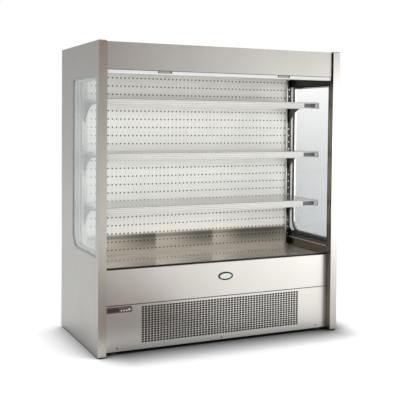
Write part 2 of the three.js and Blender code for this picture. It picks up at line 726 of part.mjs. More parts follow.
// ---------------------------------------------------------------- back of the display space
function backPanel() {
  const stepX = HOLE_PITCH_X * HOLE_EVERY_X;
  const stepZ = HOLE_PITCH_Z * HOLE_EVERY_Z;
  const rows = Math.floor((HOLE_TOP_ROW - HOLE_LOW_ROW) / stepZ) + 1;
  const columns = Math.floor((2 * (INNER - HOLE_GAP)) / stepX) + 1;
  const firstX = (-(columns - 1) * stepX) / 2;
  const holes = [];
  for (let row = 0; row < rows; row += 1) {
    for (let column = 0; column < columns; column += 1) {
      const hole = cylinderY(HOLE_SIDE / 2, BACK_FACE - PAST, BACK_FACE + SHEET + PAST, 4);
      holes.push(hole.translate(firstX + column * stepX, 0, HOLE_TOP_ROW - row * stepZ));
    }
  }
  return punch(pan([-FIT, FIT], BACK_FACE, [BACK_LOW, BACK_TOP], BACK_RETURN), holes);
}
add("back_panel", backPanel(), BRIGHT);

function slotHeights() {
  const heights = [];
  for (let z = SLOT_FIRST; z + SLOT_HIGH < UPRIGHT_TOP - SLOT_END; z += SLOT_PITCH) heights.push(z);
  return heights;
}

function upright(side) {
  const x = [side * UPRIGHT_CENTRE - UPRIGHT_WIDE / 2, side * UPRIGHT_CENTRE + UPRIGHT_WIDE / 2];
  const y = [UPRIGHT_FRONT, BACK_FACE - SEAT];
  const channel = new THREE.Shape();
  channel.moveTo(x[0], y[1]);
  channel.lineTo(x[0], y[0]);
  channel.lineTo(x[1], y[0]);
  channel.lineTo(x[1], y[1]);
  channel.lineTo(x[1] - UPRIGHT_THICK, y[1]);
  channel.lineTo(x[1] - UPRIGHT_THICK, y[0] + UPRIGHT_THICK);
  channel.lineTo(x[0] + UPRIGHT_THICK, y[0] + UPRIGHT_THICK);
  channel.lineTo(x[0] + UPRIGHT_THICK, y[1]);
  channel.closePath();
  const slots = slotHeights().map((z) =>
    block(
      [side * UPRIGHT_CENTRE - SLOT_WIDE / 2, side * UPRIGHT_CENTRE + SLOT_WIDE / 2],
      [y[0] - PAST, y[0] + UPRIGHT_THICK + PAST],
      [z, z + SLOT_HIGH],
    ),
  );
  return cut(alongZ(channel, UPRIGHT_LOW, UPRIGHT_TOP), ...slots);
}
for (const [name, side] of SIDES) add("upright_" + name, upright(side), GALVANISED);

// ---------------------------------------------------------------- shelves
function shelfPlate(top) {
  const profile = folded([
    [SHELF_FRONT + SHELF_LIP_TURN, top - SHELF_LIP_FRONT],
    [SHELF_FRONT, top - SHELF_LIP_FRONT],
    [SHELF_FRONT, top],
    [SHELF_REAR, top],
    [SHELF_REAR, top - SHELF_LIP_REAR],
  ].reverse());
  const flangeY = [SHELF_FRONT + FOLD_ROOM, SHELF_REAR - FOLD_ROOM];
  const flange = (x0) => block([x0, x0 + SHEET], flangeY, [top - SHELF_LIP_SIDE, top - FOLD_ROOM]);
  const notches = SIDES.map(([, side]) =>
    block(
      [side * UPRIGHT_CENTRE - BRACKET_THICK, side * UPRIGHT_CENTRE + BRACKET_THICK / 2 + SEAT],
      [SHELF_REAR - 2 * SHEET, SHELF_REAR + PAST],
      [top - SHELF_LIP_REAR - PAST, top - SHEET],
    ),
  );
  const plate = cut(alongX(profile, -SHELF_HALF, SHELF_HALF), ...notches);
  return join(plate, flange(-SHELF_HALF), flange(SHELF_HALF - SHEET));
}

// A clip-on extrusion: two lips and three grooves across its face.
function ticketRail(top) {
  const rear = SHELF_FRONT - SEAT;
  const face = rear - RAIL_DEEP;
  const high = top + RAIL_PROUD;
  const low = high - RAIL_HIGH;
  const section = new THREE.Shape();
  section.moveTo(rear, low);
  section.lineTo(rear, high);
  section.lineTo(face + RAIL_EDGE, high);
  section.lineTo(face, high - RAIL_EDGE);
  const first = high - RAIL_EDGE - RAIL_PROUD;
  const land = (RAIL_HIGH - 3 * RAIL_EDGE) / RAIL_GROOVES;
  for (let i = 0; i < RAIL_GROOVES; i += 1) {
    const z = first - i * land;
    section.lineTo(face, z);
    section.lineTo(face + RAIL_PROUD, z - RAIL_PROUD);
    section.lineTo(face + RAIL_PROUD, z - land + 2 * RAIL_PROUD);
    section.lineTo(face, z - land + RAIL_PROUD);
  }
  section.lineTo(face - RAIL_PROUD, low + RAIL_EDGE);
  section.lineTo(face, low);
  section.closePath();
  return alongX(section, -RAIL_HALF, RAIL_HALF);
}

// The bracket's plate: an arm with a curved gusset, and two hooks that pass through the slots.
function bracket(side, top) {
  const head = top - SHEET - SEAT;
  const rear = UPRIGHT_FRONT - SEAT;
  const nose = SHELF_FRONT + BRACKET_NOSE;
  const under = head - BRACKET_ARM;
  const low = head - GUSSET_LOW;
  const outline = new THREE.Shape();
  outline.moveTo(rear, head);
  outline.lineTo(nose + BRACKET_NOSE_CUT, head);
  outline.lineTo(nose, head - BRACKET_NOSE_CUT);
  outline.lineTo(nose, under + BRACKET_NOSE_LOW_CUT);
  outline.lineTo(nose + BRACKET_NOSE_LOW_CUT, under);
  outline.lineTo(rear - GUSSET_REACH, under - BRACKET_NOSE_CUT);
  outline.quadraticCurveTo(rear - GUSSET_REACH / 3, under - GUSSET_DEEP, rear - GUSSET_FOOT, low);
  outline.lineTo(rear, low);
  outline.closePath();
  const x = side * UPRIGHT_CENTRE;
  const plate = alongX(outline, x - BRACKET_THICK / 2, x + BRACKET_THICK / 2, 6);
  const hooks = HOOK_SLOTS.map((n) => {
    const seat = top - SHELF_OVER_SLOT - n * SLOT_PITCH + SEAT;
    const behind = UPRIGHT_FRONT + UPRIGHT_THICK + SEAT;
    const hook = new THREE.Shape();
    hook.moveTo(rear - HOOK_ROOT, seat);
    hook.lineTo(behind, seat);
    hook.lineTo(behind, seat - HOOK_DROP);
    hook.lineTo(behind + HOOK_THICK, seat - HOOK_DROP);
    hook.lineTo(behind + HOOK_THICK, seat + HOOK_HIGH);
    hook.lineTo(rear - HOOK_ROOT, seat + HOOK_HIGH);
    hook.closePath();
    return alongX(hook, x - BRACKET_THICK / 2, x + BRACKET_THICK / 2);
  });
  return join(plate, ...hooks);
}

SHELF_TOPS.forEach((top, i) => {
  add("shelf_" + (i + 1), shelfPlate(top), BRIGHT);
  add("ticket_rail_" + (i + 1), ticketRail(top), WHITE);
  for (const [name, side] of SIDES) add("bracket_" + name + "_" + (i + 1), bracket(side, top), GALVANISED);
});

// ---------------------------------------------------------------- base deck and air return
function deckTray(i) {
  const x0 = -FIT + i * TRAY_WIDE + PLAY / 2;
  const x1 = x0 + TRAY_WIDE - PLAY;
  const rear = BACK_FACE - PLAY;
  const foot = STRIP_TOP + SEAT;
  const profile = folded([
    [DECK_FRONT, foot],
    [DECK_FRONT, DECK_TOP + DECK_LIP],
    [DECK_FRONT + DECK_LIP_DEEP, DECK_TOP + DECK_LIP],
    [DECK_FRONT + DECK_LIP_DEEP + DECK_LIP_SLOPE, DECK_TOP],
    [rear, DECK_TOP],
    [rear, DECK_TOP - TRAY_SIDE],
  ].reverse());
  const notch = UPRIGHT_CENTRE - UPRIGHT_WIDE / 2 - PLAY;
  const deep = SHEET + PAST;
  const finger = turned([[0, -deep], [FINGER_HOLE_R, -deep], [FINGER_HOLE_R, deep], [0, deep]], 12);
  finger.translate(-FIT + (i + FINGER_HOLES[i]) * TRAY_WIDE, BACK_FACE - FINGER_HOLE_OFF_BACK, DECK_TOP);
  const sideY = [DECK_FRONT + FOLD_ROOM, FAN_PLATE_Y - PLAY];
  const sides = [x0, x1 - SHEET].map((x) =>
    block([x, x + SHEET], sideY, [DECK_TOP - TRAY_SIDE, DECK_TOP - FOLD_ROOM]),
  );
  const corners = SIDES.map(([, side]) =>
    block(
      side < 0 ? [-FIT - PAST, -notch] : [notch, FIT + PAST],
      [UPRIGHT_FRONT - PLAY, rear + PAST],
      [DECK_TOP - TRAY_SIDE - PAST, DECK_TOP + PAST],
    ),
  );
  return cut(join(alongX(profile, x0, x1), ...sides), finger, ...corners);
}
for (let i = 0; i < TRAY_COUNT; i += 1) add("deck_tray_" + (i + 1), deckTray(i), BRIGHT);

// Slotted strip over the gap behind the front panel; its rear edge carries the trays.
function returnStrip() {
  const y0 = PANEL_FRONT + SHEET + SEAT;
  const y1 = DECK_FRONT + STRIP_UNDER_TRAY;
  const profile = folded([[y1, STRIP_TOP - STRIP_FOLD], [y1, STRIP_TOP], [y0, STRIP_TOP]]);
  const pitch = (2 * FIT) / STRIP_SLOTS;
  const half = FIT - SHEET - SEAT;
  const middle = (WELL_FRONT + WELL_WALL + DECK_FRONT) / 2;
  const slots = Array.from({ length: STRIP_SLOTS }, (_, i) => {
    const x0 = -FIT + i * pitch + STRIP_RIB / 2;
    return block(
      [x0, x0 + pitch - STRIP_RIB],
      [middle - STRIP_SLOT_WIDE / 2, middle + STRIP_SLOT_WIDE / 2],
      [STRIP_TOP - SHEET - PAST, STRIP_TOP + SHEET + PAST],
    );
  });
  return punch(alongX(profile, -half, half), slots);
}
add("return_air_strip", returnStrip(), GALVANISED);

// ---------------------------------------------------------------- well with the evaporator
function well() {
  const front = WELL_FRONT;
  const rear = REAR_FACE - SEAT;
  const wall = front + WELL_WALL;
  const section = new THREE.Shape();
  section.moveTo(front, WELL_FLOOR_TOP - WELL_FLOOR_THICK);
  section.lineTo(rear, WELL_FLOOR_TOP - WELL_FLOOR_THICK);
  section.lineTo(rear, WELL_FLOOR_TOP);
  section.lineTo(wall + WELL_CORNER, WELL_FLOOR_TOP);
  section.quadraticCurveTo(wall, WELL_FLOOR_TOP, wall, WELL_FLOOR_TOP + WELL_CORNER);
  section.lineTo(wall, WELL_FRONT_TOP);
  section.lineTo(front, WELL_FRONT_TOP);
  section.closePath();
  const tub = alongX(section, ...SEATED, 4);
  const spout = cylinderY(DRAIN_R, 0, DRAIN_LONG + PAST, 12).rotateX(Math.PI / 2);
  const through = DRAIN_LONG + WELL_FLOOR_THICK + PAST;
  const bore = cylinderY(DRAIN_R - DRAIN_WALL, -PAST, through, 12).rotateX(Math.PI / 2);
  const z0 = WELL_FLOOR_TOP - WELL_FLOOR_THICK - DRAIN_LONG;
  return cut(join(tub, spout.translate(0, 0, z0)), bore.translate(0, 0, z0));
}
add("evaporator_well", well(), WHITE);

function coil(x, y, z, gaps, gap, cutDeep) {
  const fins = Array.from({ length: gaps }, (_, i) => {
    const centre = x[0] + ((i + 1) * (x[1] - x[0])) / (gaps + 1);
    const through = [z[0] - PAST, z[1] + PAST];
    return block([centre - gap / 2, centre + gap / 2], [y[0] - PAST, y[0] + cutDeep], through);
  });
  return cut(block(x, y, z), ...fins);
}
add(
  "evaporator_coil",
  coil(
    [-COIL_HALF, COIL_HALF],
    [COIL_REAR - COIL_DEEP, COIL_REAR],
    [WELL_FLOOR_TOP + SEAT, WELL_FLOOR_TOP + SEAT + COIL_HIGH],
    COIL_FIN_GAPS,
    COIL_FIN_GAP,
    COIL_FIN_CUT,
  ),
  { color: 0xb9bcc0, roughness: 0.4, metalness: 0.9 },
);

// A motor on three struts, with its shaft forwards. Its axis lies along Y through the origin.
function motorSpider(openR, plateY) {
  const motor = cylinderY(MOTOR_R, plateY, plateY + MOTOR_LONG, 14);
  const shaft = cylinderY(SHAFT_R, plateY - SHAFT_LONG, plateY + PAST, 8);
  const struts = Array.from({ length: STRUT_COUNT }, (_, i) => {
    const reach = [0, openR + STRUT_ROOT];
    const strut = block([-STRUT_WIDE / 2, STRUT_WIDE / 2], [plateY, plateY + 2 * SHEET], reach);
    return strut.rotateY((i * 2 * Math.PI) / STRUT_COUNT);
  });
  return [motor, shaft, ...struts];
}

function rotor(radius, y1) {
  const hub = cylinderY(FAN_HUB_R, y1 - FAN_HUB_LONG, y1, 14);
  const blades = Array.from({ length: FAN_BLADES }, (_, i) => {
    const outline = new THREE.Shape();
    outline.moveTo(-BLADE_CHORD * 0.3, FAN_HUB_R * 0.6);
    outline.quadraticCurveTo(-BLADE_CHORD * 0.62, radius * 0.75, -BLADE_CHORD * 0.35, radius * 0.97);
    outline.quadraticCurveTo(BLADE_CHORD * 0.2, radius * 1.02, BLADE_CHORD * 0.62, radius * 0.86);
    outline.quadraticCurveTo(BLADE_CHORD * 0.45, radius * 0.5, BLADE_CHORD * 0.25, FAN_HUB_R * 0.6);
    outline.closePath();
    const blade = alongY(outline, -BLADE_THICK / 2, BLADE_THICK / 2, 3);
    blade.rotateZ(THREE.MathUtils.degToRad(BLADE_PITCH));
    blade.translate(0, y1 - FAN_HUB_LONG * 0.6, 0);
    return blade.rotateY((i * 2 * Math.PI) / FAN_BLADES);
  });
  const bore = cylinderY(SHAFT_R + SHAFT_PLAY, y1 - SHAFT_LONG - SEAT, y1 + PAST, 8);
  return cut(join(hub, ...blades), bore);
}

function fanPlate() {
  const z0 = WELL_FLOOR_TOP + SEAT;
  const z1 = DECK_TOP - SHEET - SEAT;
  const face = rect([-FIT, FIT], [z0, z1]);
  for (const x of EVAP_FAN_X) {
    const hole = new THREE.Path();
    hole.absarc(x, FAN_Z, EVAP_FAN_R + FAN_TIP_PLAY, 0, Math.PI * 2);
    face.holes.push(hole);
  }
  const flange = block([-FIT, FIT], [FAN_PLATE_Y, FAN_PLATE_Y + FAN_PLATE_FLANGE], [z1 - SHEET, z1]);
  const spiders = EVAP_FAN_X.flatMap((x) =>
    motorSpider(EVAP_FAN_R + FAN_TIP_PLAY, FAN_PLATE_Y).map((piece) => piece.translate(x, 0, FAN_Z)),
  );
  return join(alongY(face, FAN_PLATE_Y, FAN_PLATE_Y + SHEET, 8), flange, ...spiders);
}
add("evaporator_fan_plate", fanPlate(), GALVANISED);
EVAP_FAN_X.forEach((x, i) => {
  add("evaporator_fan_" + (i + 1), rotor(EVAP_FAN_R, FAN_PLATE_Y - SEAT).translate(x, 0, FAN_Z), BLACK);
});

// ---------------------------------------------------------------- front panels
const UPPER_PANEL = [PANEL_SPLIT + PANEL_GAP / 2, PANEL_TOP];
const LOWER_PANEL = [PANEL_LOW, PANEL_SPLIT - PANEL_GAP / 2];
add("upper_front_panel", pan([-FIT, FIT], PANEL_FRONT, UPPER_PANEL, PANEL_RETURN), STEEL);

function badge() {
  const oval = (grow) => {
    const shape = new THREE.Shape();
    shape.absellipse(BADGE_X, BADGE_Z, BADGE_WIDE / 2 + grow, BADGE_HIGH / 2 + grow, 0, Math.PI * 2);
    return shape;
  };
  const back = PANEL_FRONT - SEAT;
  const plate = alongY(oval(0), back - BADGE_THICK, back, 10);
  const face = back - BADGE_THICK;
  const sunk = alongY(oval(-BADGE_RIM), face - PAST, face + BADGE_SUNK, 10);
  return cut(plate, sunk);
}
add("badge_blank", badge(), BLACK);

function lowerFrontPanel() {
  const stepX = (GRILLE_RIGHT - GRILLE_LEFT) / (GRILLE_COLUMNS - 1);
  const stepZ = (GRILLE_HIGH - GRILLE_LOW) / (GRILLE_ROWS - 1);
  const halfHole = [(stepX - GRILLE_BAR) / 2, GRILLE_HOLE_HIGH / 2];
  const through = [PANEL_FRONT - PAST, PANEL_FRONT + SHEET + PAST];
  const opening = ([low, high]) => [low + CONTROL_FLANGE, high - CONTROL_FLANGE];
  const holes = [block(opening(CONTROL_X), through, opening(CONTROL_Z))];
  for (let row = 0; row < GRILLE_ROWS; row += 1) {
    for (let column = 0; column < GRILLE_COLUMNS; column += 1) {
      const x = GRILLE_LEFT + column * stepX;
      const z = GRILLE_LOW + row * stepZ;
      holes.push(block([x - halfHole[0], x + halfHole[0]], through, [z - halfHole[1], z + halfHole[1]]));
    }
  }
  return punch(pan([-FIT, FIT], PANEL_FRONT, LOWER_PANEL, PANEL_RETURN), holes);
}
add("lower_front_panel", lowerFrontPanel(), STEEL);

// ---------------------------------------------------------------- controller
function buttonPlaces() {
  const x = (i) => CONTROL_X[0] + BUTTON_FIRST + i * BUTTON_PITCH;
  const places = [0, 1, 2].map((i) => [x(i), CONTROL_Z[0] + BUTTON_Z, BUTTON_R]);
  places.push([x(3), CONTROL_Z[0] + ROUND_BUTTON_Z, ROUND_BUTTON_R]);
  return places;
}

function controller() {
  const front = PANEL_FRONT - CONTROL_PROUD;
  const back = PANEL_FRONT - SEAT;
  const inset = CONTROL_FLANGE + SEAT;
  const bezel = alongY(roundedRect(CONTROL_X, CONTROL_Z, CONTROL_CORNER), front, back, 3);
  const body = block(
    [CONTROL_X[0] + inset, CONTROL_X[1] - inset],
    [front + PAST, PANEL_FRONT + CONTROL_DEEP],
    [CONTROL_Z[0] + inset, CONTROL_Z[1] - inset],
  );
  const windowCut = block(
    CONTROL_DISPLAY.map((x) => CONTROL_X[0] + x),
    [front - PAST, front + CONTROL_DISPLAY_SUNK],
    [CONTROL_Z[0] + CONTROL_DISPLAY_EDGE, CONTROL_Z[1] - CONTROL_DISPLAY_EDGE],
  );
  const floor = front + BUTTON_LONG - BUTTON_PROUD + BUTTON_TRAVEL + SEAT;
  const wells = buttonPlaces().map(([x, z, r]) =>
    cylinderY(r + BUTTON_PLAY, front - PAST, floor, 12).translate(x, 0, z),
  );
  return cut(join(bezel, body), windowCut, ...wells);
}
add("controller", controller(), BLACK);
buttonPlaces().forEach(([x, z, r], i) => {
  const y0 = PANEL_FRONT - CONTROL_PROUD - BUTTON_PROUD;
  const top = BUTTON_LONG;
  const cap = turned([[0, 0], [r, 0], [r, top - BUTTON_BEVEL], [r - BUTTON_BEVEL, top], [0, top]], 12);
  add("button_" + (i + 1), cap.rotateX(Math.PI / 2).translate(x, y0 + BUTTON_LONG, z), WHITE);
});

// ---------------------------------------------------------------- machine compartment
function baseFrame() {
  const x = SEATED;
  const y = [FRAME_FRONT, FRAME_REAR];
  const z = [FRAME_LOW, FRAME_HIGH];
  const half = FRAME_BAR / 2;
  const bars = [block(x, [y[0], y[0] + FRAME_BAR], z), block(x, [y[1] - FRAME_BAR, y[1]], z)];
  const crossX = [x[0] + half, -CROSS_BAR_X, CROSS_BAR_X, x[1] - half];
  const crosses = crossX.map((c) => block([c - half, c + half], y, z));
  const panSheet = block(x, y, [FRAME_HIGH - PAST, FRAME_HIGH + FRAME_PAN]);
  const deep = FOOT_STUD_IN + FOOT_STUD_R;
  const bores = footPlaces().map(([fx, fy]) => {
    const bore = cylinderY(FOOT_STUD_R + STUD_PLAY, -PAST, deep, 10).rotateX(Math.PI / 2);
    return bore.translate(fx, fy, FRAME_LOW);
  });
  return cut(join(...bars, ...crosses, panSheet), ...bores);
}

function footPlaces() {
  const front = FRAME_FRONT + FRAME_BAR / 2;
  const rear = FRAME_REAR - FRAME_BAR / 2;
  return [[-FOOT_X, front], [FOOT_X, front], [-FOOT_X, rear], [FOOT_X, rear]];
}
add("base_frame", baseFrame(), GALVANISED);

footPlaces().forEach(([x, y], i) => {
  const nut = FRAME_LOW - SEAT;
  const profile = [
    [0, 0],
    [FOOT_R, 0],
    [FOOT_R, FOOT_PAD_HIGH - FOOT_BEVEL[1]],
    [FOOT_R - FOOT_BEVEL[0], FOOT_PAD_HIGH],
    [FOOT_STUD_R, FOOT_PAD_HIGH],
    [FOOT_STUD_R, nut - FOOT_NUT_HIGH],
    [FOOT_NUT_R, nut - FOOT_NUT_HIGH],
    [FOOT_NUT_R, nut],
    [FOOT_STUD_R, nut],
    [FOOT_STUD_R, nut + FOOT_STUD_IN],
    [0, nut + FOOT_STUD_IN],
  ];
  add("foot_" + (i + 1), turned(profile, 10).translate(x, y, 0), BLACK);
});

// A hermetic can on a foot plate with four rubber feet.
function compressor() {
  const can = turned(CAN_PROFILE.map(([r, z]) => [r * COMPRESSOR_R, z * COMPRESSOR_HIGH]), 18);
  const [halfX, halfY] = COMPRESSOR_FOOT.map((size) => size / 2);
  const foot = block([-halfX, halfX], [-halfY, halfY], COMPRESSOR_FOOT_Z);
  const around = (centre, size) => [centre - size / 2, centre + size / 2];
  const feet = [-1, 1].flatMap((a) =>
    [-1, 1].map((b) =>
      block(
        around(a * (halfX - RUBBER_FOOT_IN[0]), RUBBER_FOOT[0]),
        around(b * (halfY - RUBBER_FOOT_IN[1]), RUBBER_FOOT[1]),
        [0, COMPRESSOR_FOOT_Z[0] + PAST],
      ),
    ),
  );
  return join(can, foot, ...feet).translate(COMPRESSOR_X, COMPRESSOR_Y, MACHINE_FLOOR);
}
add("compressor", compressor(), BLACK);

// The finned block and the shroud that carries the fan motor behind it.
function condenser() {
  const x = [CONDENSER_X - CONDENSER_WIDE / 2, CONDENSER_X + CONDENSER_WIDE / 2];
  const z = [MACHINE_FLOOR, MACHINE_FLOOR + CONDENSER_HIGH];
  const finned = coil(x, [CONDENSER_FRONT, CONDENSER_REAR], z, CONDENSER_GAPS, CONDENSER_GAP, CONDENSER_CUT);
  const rim = rect(x, z);
  rim.holes.push(rect([x[0] + SHEET, x[1] - SHEET], [z[0] + SHEET, z[1] - SHEET], THREE.Path));
  const plate = rect(x, z);
  const hole = new THREE.Path();
  hole.absarc(CONDENSER_X, CONDENSER_FAN_Z, CONDENSER_FAN_R + FAN_TIP_PLAY, 0, Math.PI * 2);
  plate.holes.push(hole);
  const spider = motorSpider(CONDENSER_FAN_R + FAN_TIP_PLAY, CONDENSER_FAN_Y).map((piece) =>
    piece.translate(CONDENSER_X, 0, CONDENSER_FAN_Z),
  );
  return join(
    finned,
    alongY(rim, CONDENSER_REAR - PAST, CONDENSER_FAN_Y + SHEET),
    alongY(plate, CONDENSER_FAN_Y, CONDENSER_FAN_Y + SHEET, 8),
    ...spider,
  );
}
add("condenser", condenser(), GALVANISED);
add(
  "condenser_fan",
  rotor(CONDENSER_FAN_R, CONDENSER_FAN_Y - SEAT).translate(CONDENSER_X, 0, CONDENSER_FAN_Z),
  BLACK,
);

// A gland for the supply lead in the rear wall, with its bore open.
function cableGland() {
  const face = REAR_FACE + REAR_THICK + SEAT;
  const end = REAR_RECESS - GLAND_SHORT;
  const [out, thick] = GLAND_FLANGE;
  const profile = [
    [GLAND_BORE, 0],
    [GLAND_R + out, 0],
    [GLAND_R + out, thick],
    [GLAND_R, thick],
    [GLAND_R - GLAND_TAPER, end],
    [GLAND_BORE, end],
    [GLAND_BORE, 0],
  ];
  return turned(profile, 12).rotateX(-Math.PI / 2).translate(GLAND_X, face, GLAND_Z);
}
add("cable_gland", cableGland(), BLACK);

export default root;
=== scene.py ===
# %% [markdown]
# # An open display fridge, dressed in Blender
# The solids of the cabinet come ready made, in metres, with the floor at z = 0, the open front
# facing -Y and the right-hand side, seen from the front, at +X. This lesson keeps every solid where
# it is and gives it the surface that the real cabinet has: satin steel, polished trays, punched
# sheet, ribbed price rails, rubber and glass.

# %% Load the solids
import math

import bmesh
import bpy
from mathutils import Matrix, Vector


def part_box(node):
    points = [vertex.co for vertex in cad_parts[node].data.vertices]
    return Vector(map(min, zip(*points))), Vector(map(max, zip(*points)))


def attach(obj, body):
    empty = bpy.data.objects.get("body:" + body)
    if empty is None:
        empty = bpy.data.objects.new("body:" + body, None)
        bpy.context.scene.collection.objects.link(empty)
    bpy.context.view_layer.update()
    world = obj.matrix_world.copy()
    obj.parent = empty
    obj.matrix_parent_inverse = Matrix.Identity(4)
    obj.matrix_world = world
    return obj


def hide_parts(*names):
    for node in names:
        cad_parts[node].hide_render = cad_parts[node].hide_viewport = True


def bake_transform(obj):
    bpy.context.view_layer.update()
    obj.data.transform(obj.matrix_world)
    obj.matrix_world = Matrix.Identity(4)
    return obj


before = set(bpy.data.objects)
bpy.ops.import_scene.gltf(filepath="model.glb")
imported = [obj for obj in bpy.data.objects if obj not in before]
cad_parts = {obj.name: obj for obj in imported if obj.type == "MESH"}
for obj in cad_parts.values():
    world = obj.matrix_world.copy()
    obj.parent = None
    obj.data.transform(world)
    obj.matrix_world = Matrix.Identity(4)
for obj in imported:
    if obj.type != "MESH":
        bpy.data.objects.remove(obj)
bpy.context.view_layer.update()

scene = bpy.context.scene

# %% [markdown]
# ## The camera
# The picture is taken from the left of the cabinet, at three quarters of its height, with upright
# edges that stay nearly parallel. A lens can only do that when it looks level and the film is moved
# instead, so the camera tips down by two degrees, leans by half a degree, and the rest of the
# framing is a shift.

# %% Place the camera
CAMERA_PLACE = (-2.355, -5.079, 1.492)
CAMERA_YAW = -24.90  # degrees, towards the right-hand side
LOOK_LEVEL = 90  # degrees up from looking straight down
CAMERA_TIP = -2.0
CAMERA_ROLL = 0.50
LENS_PIXELS = 786.8  # focal length in pixels of the picture
PICTURE = 400  # pixels across
SENSOR = 36.0
AXIS_ROW = 147.4  # row of the picture that the lens axis meets

camera_data = bpy.data.cameras.new("camera")
camera_data.sensor_width = SENSOR
camera_data.lens = LENS_PIXELS / PICTURE * SENSOR
camera_data.shift_y = (AXIS_ROW - PICTURE / 2) / PICTURE
camera = bpy.data.objects.new("camera", camera_data)
turn = Matrix.Rotation(math.radians(CAMERA_YAW), 4, "Z")
tip = Matrix.Rotation(math.radians(LOOK_LEVEL + CAMERA_TIP), 4, "X")
roll = Matrix.Rotation(math.radians(CAMERA_ROLL), 4, "Z")
camera.matrix_world = Matrix.Translation(CAMERA_PLACE) @ turn @ tip @ roll
scene.collection.objects.link(camera)
scene.camera = camera
print("lens %.1f mm, shift %.3f" % (camera_data.lens, camera_data.shift_y))

# %% [markdown]
# ## Floor and light
# Steel shows its surroundings, so the room matters as much as the lamps. The room is white to the
# camera, to reflections and to what is seen through glass, and gives a dimmer light to everything
# else. The floor is a pale sheet with a painted shadow: its colour darkens close to the cabinet,
# most of all in front of it, and far behind the cabinet it fades to the white of the room.

# %% Tools that join shader nodes
def fill(node, values):
    """Fill in some of a node's inputs by name."""
    for name, value in values.items():
        node.inputs[name].default_value = value


def combined(nodes, links, operation, first, second):
    """The outcome of one operation on two values."""
    both = nodes.new("ShaderNodeMath")
    both.operation = operation
    links.new(first, both.inputs[0])
    links.new(second, both.inputs[1])
    return both.outputs[0]


def mapped(nodes, links, value, start, full, low=0.0, high=1.0, smooth=False):
    """Turn a value that runs from start to full into one that runs from low to high."""
    reach = nodes.new("ShaderNodeMapRange")
    if smooth:
        reach.interpolation_type = "SMOOTHSTEP"
    fill(reach, {"From Min": start, "From Max": full, "To Min": low, "To Max": high})
    links.new(value, reach.inputs["Value"])
    return reach.outputs["Result"]


def place_along(nodes, links, axis):
    """Where a place lies along one axis of its piece, in metres."""
    place = nodes.new("ShaderNodeTexCoord")
    split = nodes.new("ShaderNodeSeparateXYZ")
    links.new(place.outputs["Object"], split.inputs["Vector"])
    return split.outputs[axis]


def way_along(nodes, links, axis, low, high, smooth=False):
    """How far along an axis a place is, from 0 at one value to 1 at another."""
    return mapped(nodes, links, place_along(nodes, links, axis), low, high, smooth=smooth)


def colour_ramp(nodes, links, value, tones):
    """The colour that a ramp through stops of (share of the way, colour) has at a value."""
    ramp = nodes.new("ShaderNodeValToRGB")
    stops = ramp.color_ramp.elements
    for i, (share, colour) in enumerate(tones):
        stop = stops[i] if i < 2 else stops.new(share)
        stop.position = share
        stop.color = (*colour, 1)
    links.new(value, ramp.inputs["Fac"])
    return ramp.outputs["Color"]


def mixed(nodes, links, share, first, second):
    """The first shader where the share is 0, and the second where it is 1."""
    mix = nodes.new("ShaderNodeMixShader")
    links.new(share, mix.inputs["Fac"])
    links.new(first, mix.inputs[1])
    links.new(second, mix.inputs[2])
    return mix.outputs[0]


def seen_directly(nodes, links):
    """1 for what the camera, a reflection or a pane of glass looks at, and 0 for plain lighting."""
    rays = nodes.new("ShaderNodeLightPath").outputs
    first = combined(nodes, links, "MAXIMUM", rays["Is Camera Ray"], rays["Is Glossy Ray"])
    return combined(nodes, links, "MAXIMUM", first, rays["Is Transmission Ray"])

# %% Make the room
scene.view_settings.view_transform = "Standard"
ROOM_SEEN, ROOM_LIGHT = 1.0, 0.90  # its strength as it is seen, and as it lights things
ROOM_WHITE = (1.0, 1.0, 1.0, 1.0)

world = bpy.data.worlds.new("room")
scene.world = world
world.use_nodes = True
nodes = world.node_tree.nodes
links = world.node_tree.links
dim, white = nodes["Background"], nodes.new("ShaderNodeBackground")
fill(dim, {"Color": ROOM_WHITE, "Strength": ROOM_LIGHT})
fill(white, {"Color": ROOM_WHITE, "Strength": ROOM_SEEN})
seen = seen_directly(nodes, links)
room = mixed(nodes, links, seen, dim.outputs[0], white.outputs[0])
links.new(room, nodes["World Output"].inputs["Surface"])
print("room light %.2f" % ROOM_LIGHT)

# %% Lay the floor
FLOOR_SPAN = (-14.0, 14.0)
FLOOR_WHITE = 0.93
FLOOR_ROUGHNESS, FLOOR_SHINE = 0.9, 0.1
FLOOR_LIFT = 0.36  # the floor reads as white where nothing shades it
CONTACT_REACH = 0.36  # metres over which a painted contact shadow darkens the floor beside the cabinet
CONTACT_TONES = ((0.28, 0.03), (0.50, 0.40), (0.70, 0.80), (0.95, 1.0))  # (open share, brightness)
FRONT_EDGE, FRONT_REACH = -0.39, 0.50  # the front panel's line, and how far its painted shadow reaches forwards
FRONT_TONES = ((0.0, 0.26), (0.28, 0.52), (0.60, 0.88), (1.0, 1.0))  # (share of the way, brightness)
SHADE_ENDS = (("X", -0.96, -0.66), ("X", 1.10, 0.84), ("Y", 0.10, -0.34))  # where it starts and is full
FAR_FLOOR, FAR_TONE = (3.0, 13.0), 0.87  # far behind, the floor fades to the white of the room


def grey_tones(tones, white=1.0):
    """Stops of (share, brightness) as stops of (share, colour)."""
    return [(share, (white * tone,) * 3) for share, tone in tones]


